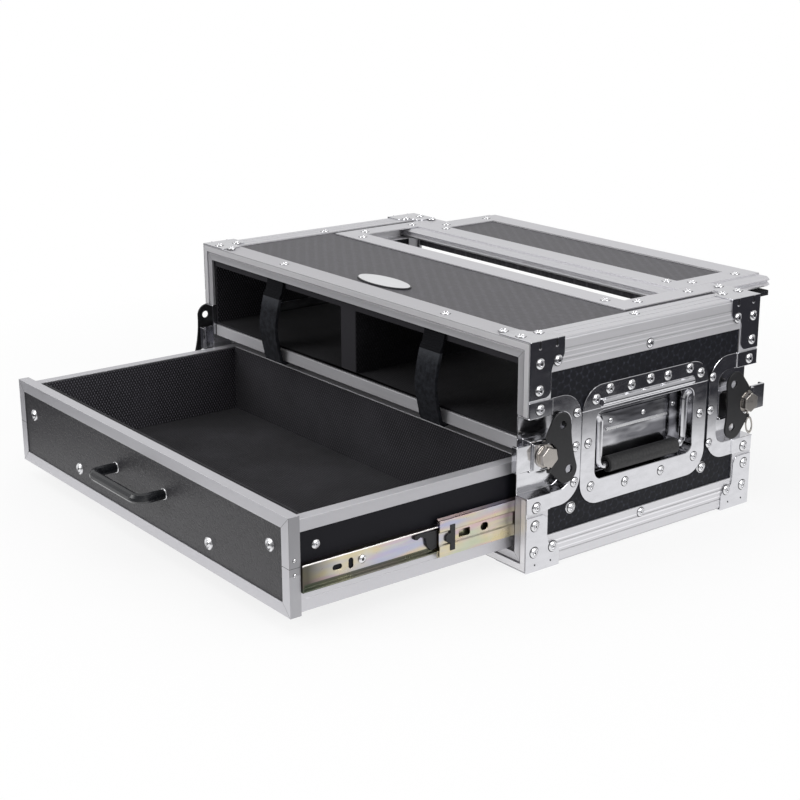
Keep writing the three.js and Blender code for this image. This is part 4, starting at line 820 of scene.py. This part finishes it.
# Bar pull: bent steel rod with a satin black coat and a thin bright ring on each leg.
pull_coat = Finish("satin_black_coat", IOR=1.5, Specular_IOR_Level=0.55)
pull_grain = pull_coat.noise(300, 2)
pull_coat.set(Base_Color=pull_coat.mix(pull_grain, (0.004, 0.005, 0.007), (0.009, 0.010, 0.013)),
              Roughness=pull_grain * 0.08 + 0.20)
eased("drawer_pull", pull_coat, 0.0004, sharp_above=60)
pull_ring = spun([(4.8, 0), (4.8, 0.6), (5.2, 0.6), (5.5, 0), (4.8, 0)], steps=20)
ring_places = [(spot(x, front_face, 62.9), (0, -1, 0)) for x in (-44.4, 45.6)]
fasteners("drawer_pull_rings", pull_ring, ring_places, "drawer", [rivet_steel])


# Drawer slides: roll-formed steel, yellow zinc plated, so it shifts between straw, rose and
# green along its length. Painted shade darkens its drawn-out end, its crest and the band under
# its lips, and a painted highlight runs along its rim. The release lever and the end bumper are
# black mouldings, and a screw holds each inner member to the box.
yellow_zinc = Finish("yellow_zinc_steel", Metallic=1.0, IOR=1.5)
zinc_drift = yellow_zinc.noise(9, 2, (1, 1.2, 6))
zinc_cloud = yellow_zinc.noise(45, 3)
zinc_band = yellow_zinc.noise(1.0, 2, (1, 14, 150))
zinc_x, zinc_y, zinc_z = yellow_zinc.place()
drawn_from, end_shade_from, end_shade_to, member_edge = -0.232, -0.330, -0.362, 0.2489
crest_foot, rim_foot, lip_top = 0.0577, 0.0566, 0.0385
zinc_drawn_out = zinc_y < drawn_from
zinc_crest_shade = (zinc_z > crest_foot) * (zinc_x.size() < member_edge) * zinc_drawn_out
zinc_rim_highlight = (zinc_z > rim_foot) * (zinc_x.size() > member_edge) * zinc_drawn_out
zinc_lip_shade = (zinc_z < lip_top) * zinc_drawn_out
zinc_shade = yellow_zinc.mix(zinc_cloud.rise(0.35, 0.65), (0.66, 0.57, 0.36), (0.66, 0.62, 0.52))
# After the plating's drift: painted shade at the drawn-out end, on the crest and under the lips, and a
# painted highlight on the rim.
for share, tone in (
        (zinc_band.rise(0.48, 0.60) * 0.65, (0.62, 0.42, 0.50)),
        (zinc_drift.rise(0.52, 0.66) * 0.75, (0.42, 0.46, 0.66)),
        (zinc_drift.rise(0.48, 0.34) * 0.6, (0.40, 0.52, 0.36)),
        (zinc_y.rise(end_shade_from, end_shade_to) * 0.92, (0.065, 0.062, 0.045)),
        (zinc_crest_shade * 0.8, (0.10, 0.08, 0.07)),
        (zinc_rim_highlight * 0.9, (0.96, 0.93, 0.90)),
        (zinc_lip_shade * 0.85, (0.085, 0.100, 0.075))):
    zinc_shade = yellow_zinc.mix(share, zinc_shade, tone)
yellow_zinc.set(Base_Color=zinc_shade, Roughness=zinc_cloud * 0.14 + 0.22)
yellow_zinc.emboss(yellow_zinc.noise(1.0, 2, (700, 8, 700)), 0.00004, 0.4)
black_moulding = Finish("black_plastic", IOR=1.45, Specular_IOR_Level=0.4)
moulding_grain = black_moulding.noise(700, 2)
black_moulding.set(
    Base_Color=black_moulding.mix(moulding_grain, (0.012, 0.012, 0.013), (0.020, 0.020, 0.022)),
    Roughness=moulding_grain * 0.1 + 0.42)
black_moulding.emboss(moulding_grain, 0.00006, 0.5)


slide_level, bumper_face, bumper_thickness, slide_screw_face = 46.8, 249.9, 0.0018, 244.8


def bumper_half(way):
    """Half of the cross-shaped bumper's outline, from its lobe round to its upper bar."""
    return [(y, slide_level + way * (z - slide_level)) for y, z in (
        (-67.2, 49.4), (-67.2, 58.6), (-72.6, 58.6), (-72.6, 51.2), (-75.2, 50.6), (-77.4, 48.8))]


for side, way in (("right", 1), ("left", -1)):
    for member in ("outer", "middle", "inner"):
        eased(f"slide_{member}_{side}", yellow_zinc, 0.0002)
    eased(f"slide_lever_{side}", black_moulding, 0.0003)
    bumper = bmesh.new()
    bumper_outline = bumper_half(1) + bumper_half(-1)[::-1]
    bumper.faces.new([bumper.verts.new(spot(way * bumper_face, y, z)) for y, z in bumper_outline])
    thickened(bumper, (way * bumper_thickness, 0, 0))
    rounded(bumper, 0.0004, segments=2)
    new_piece(f"slide_bumper_{side}", bumper, [black_moulding], f"slide_middle_{side}")
fasteners("slide_screws", screw_head(1.25), on_sides(slide_screw_face, [(-161.2, 48.3)]), "drawer")
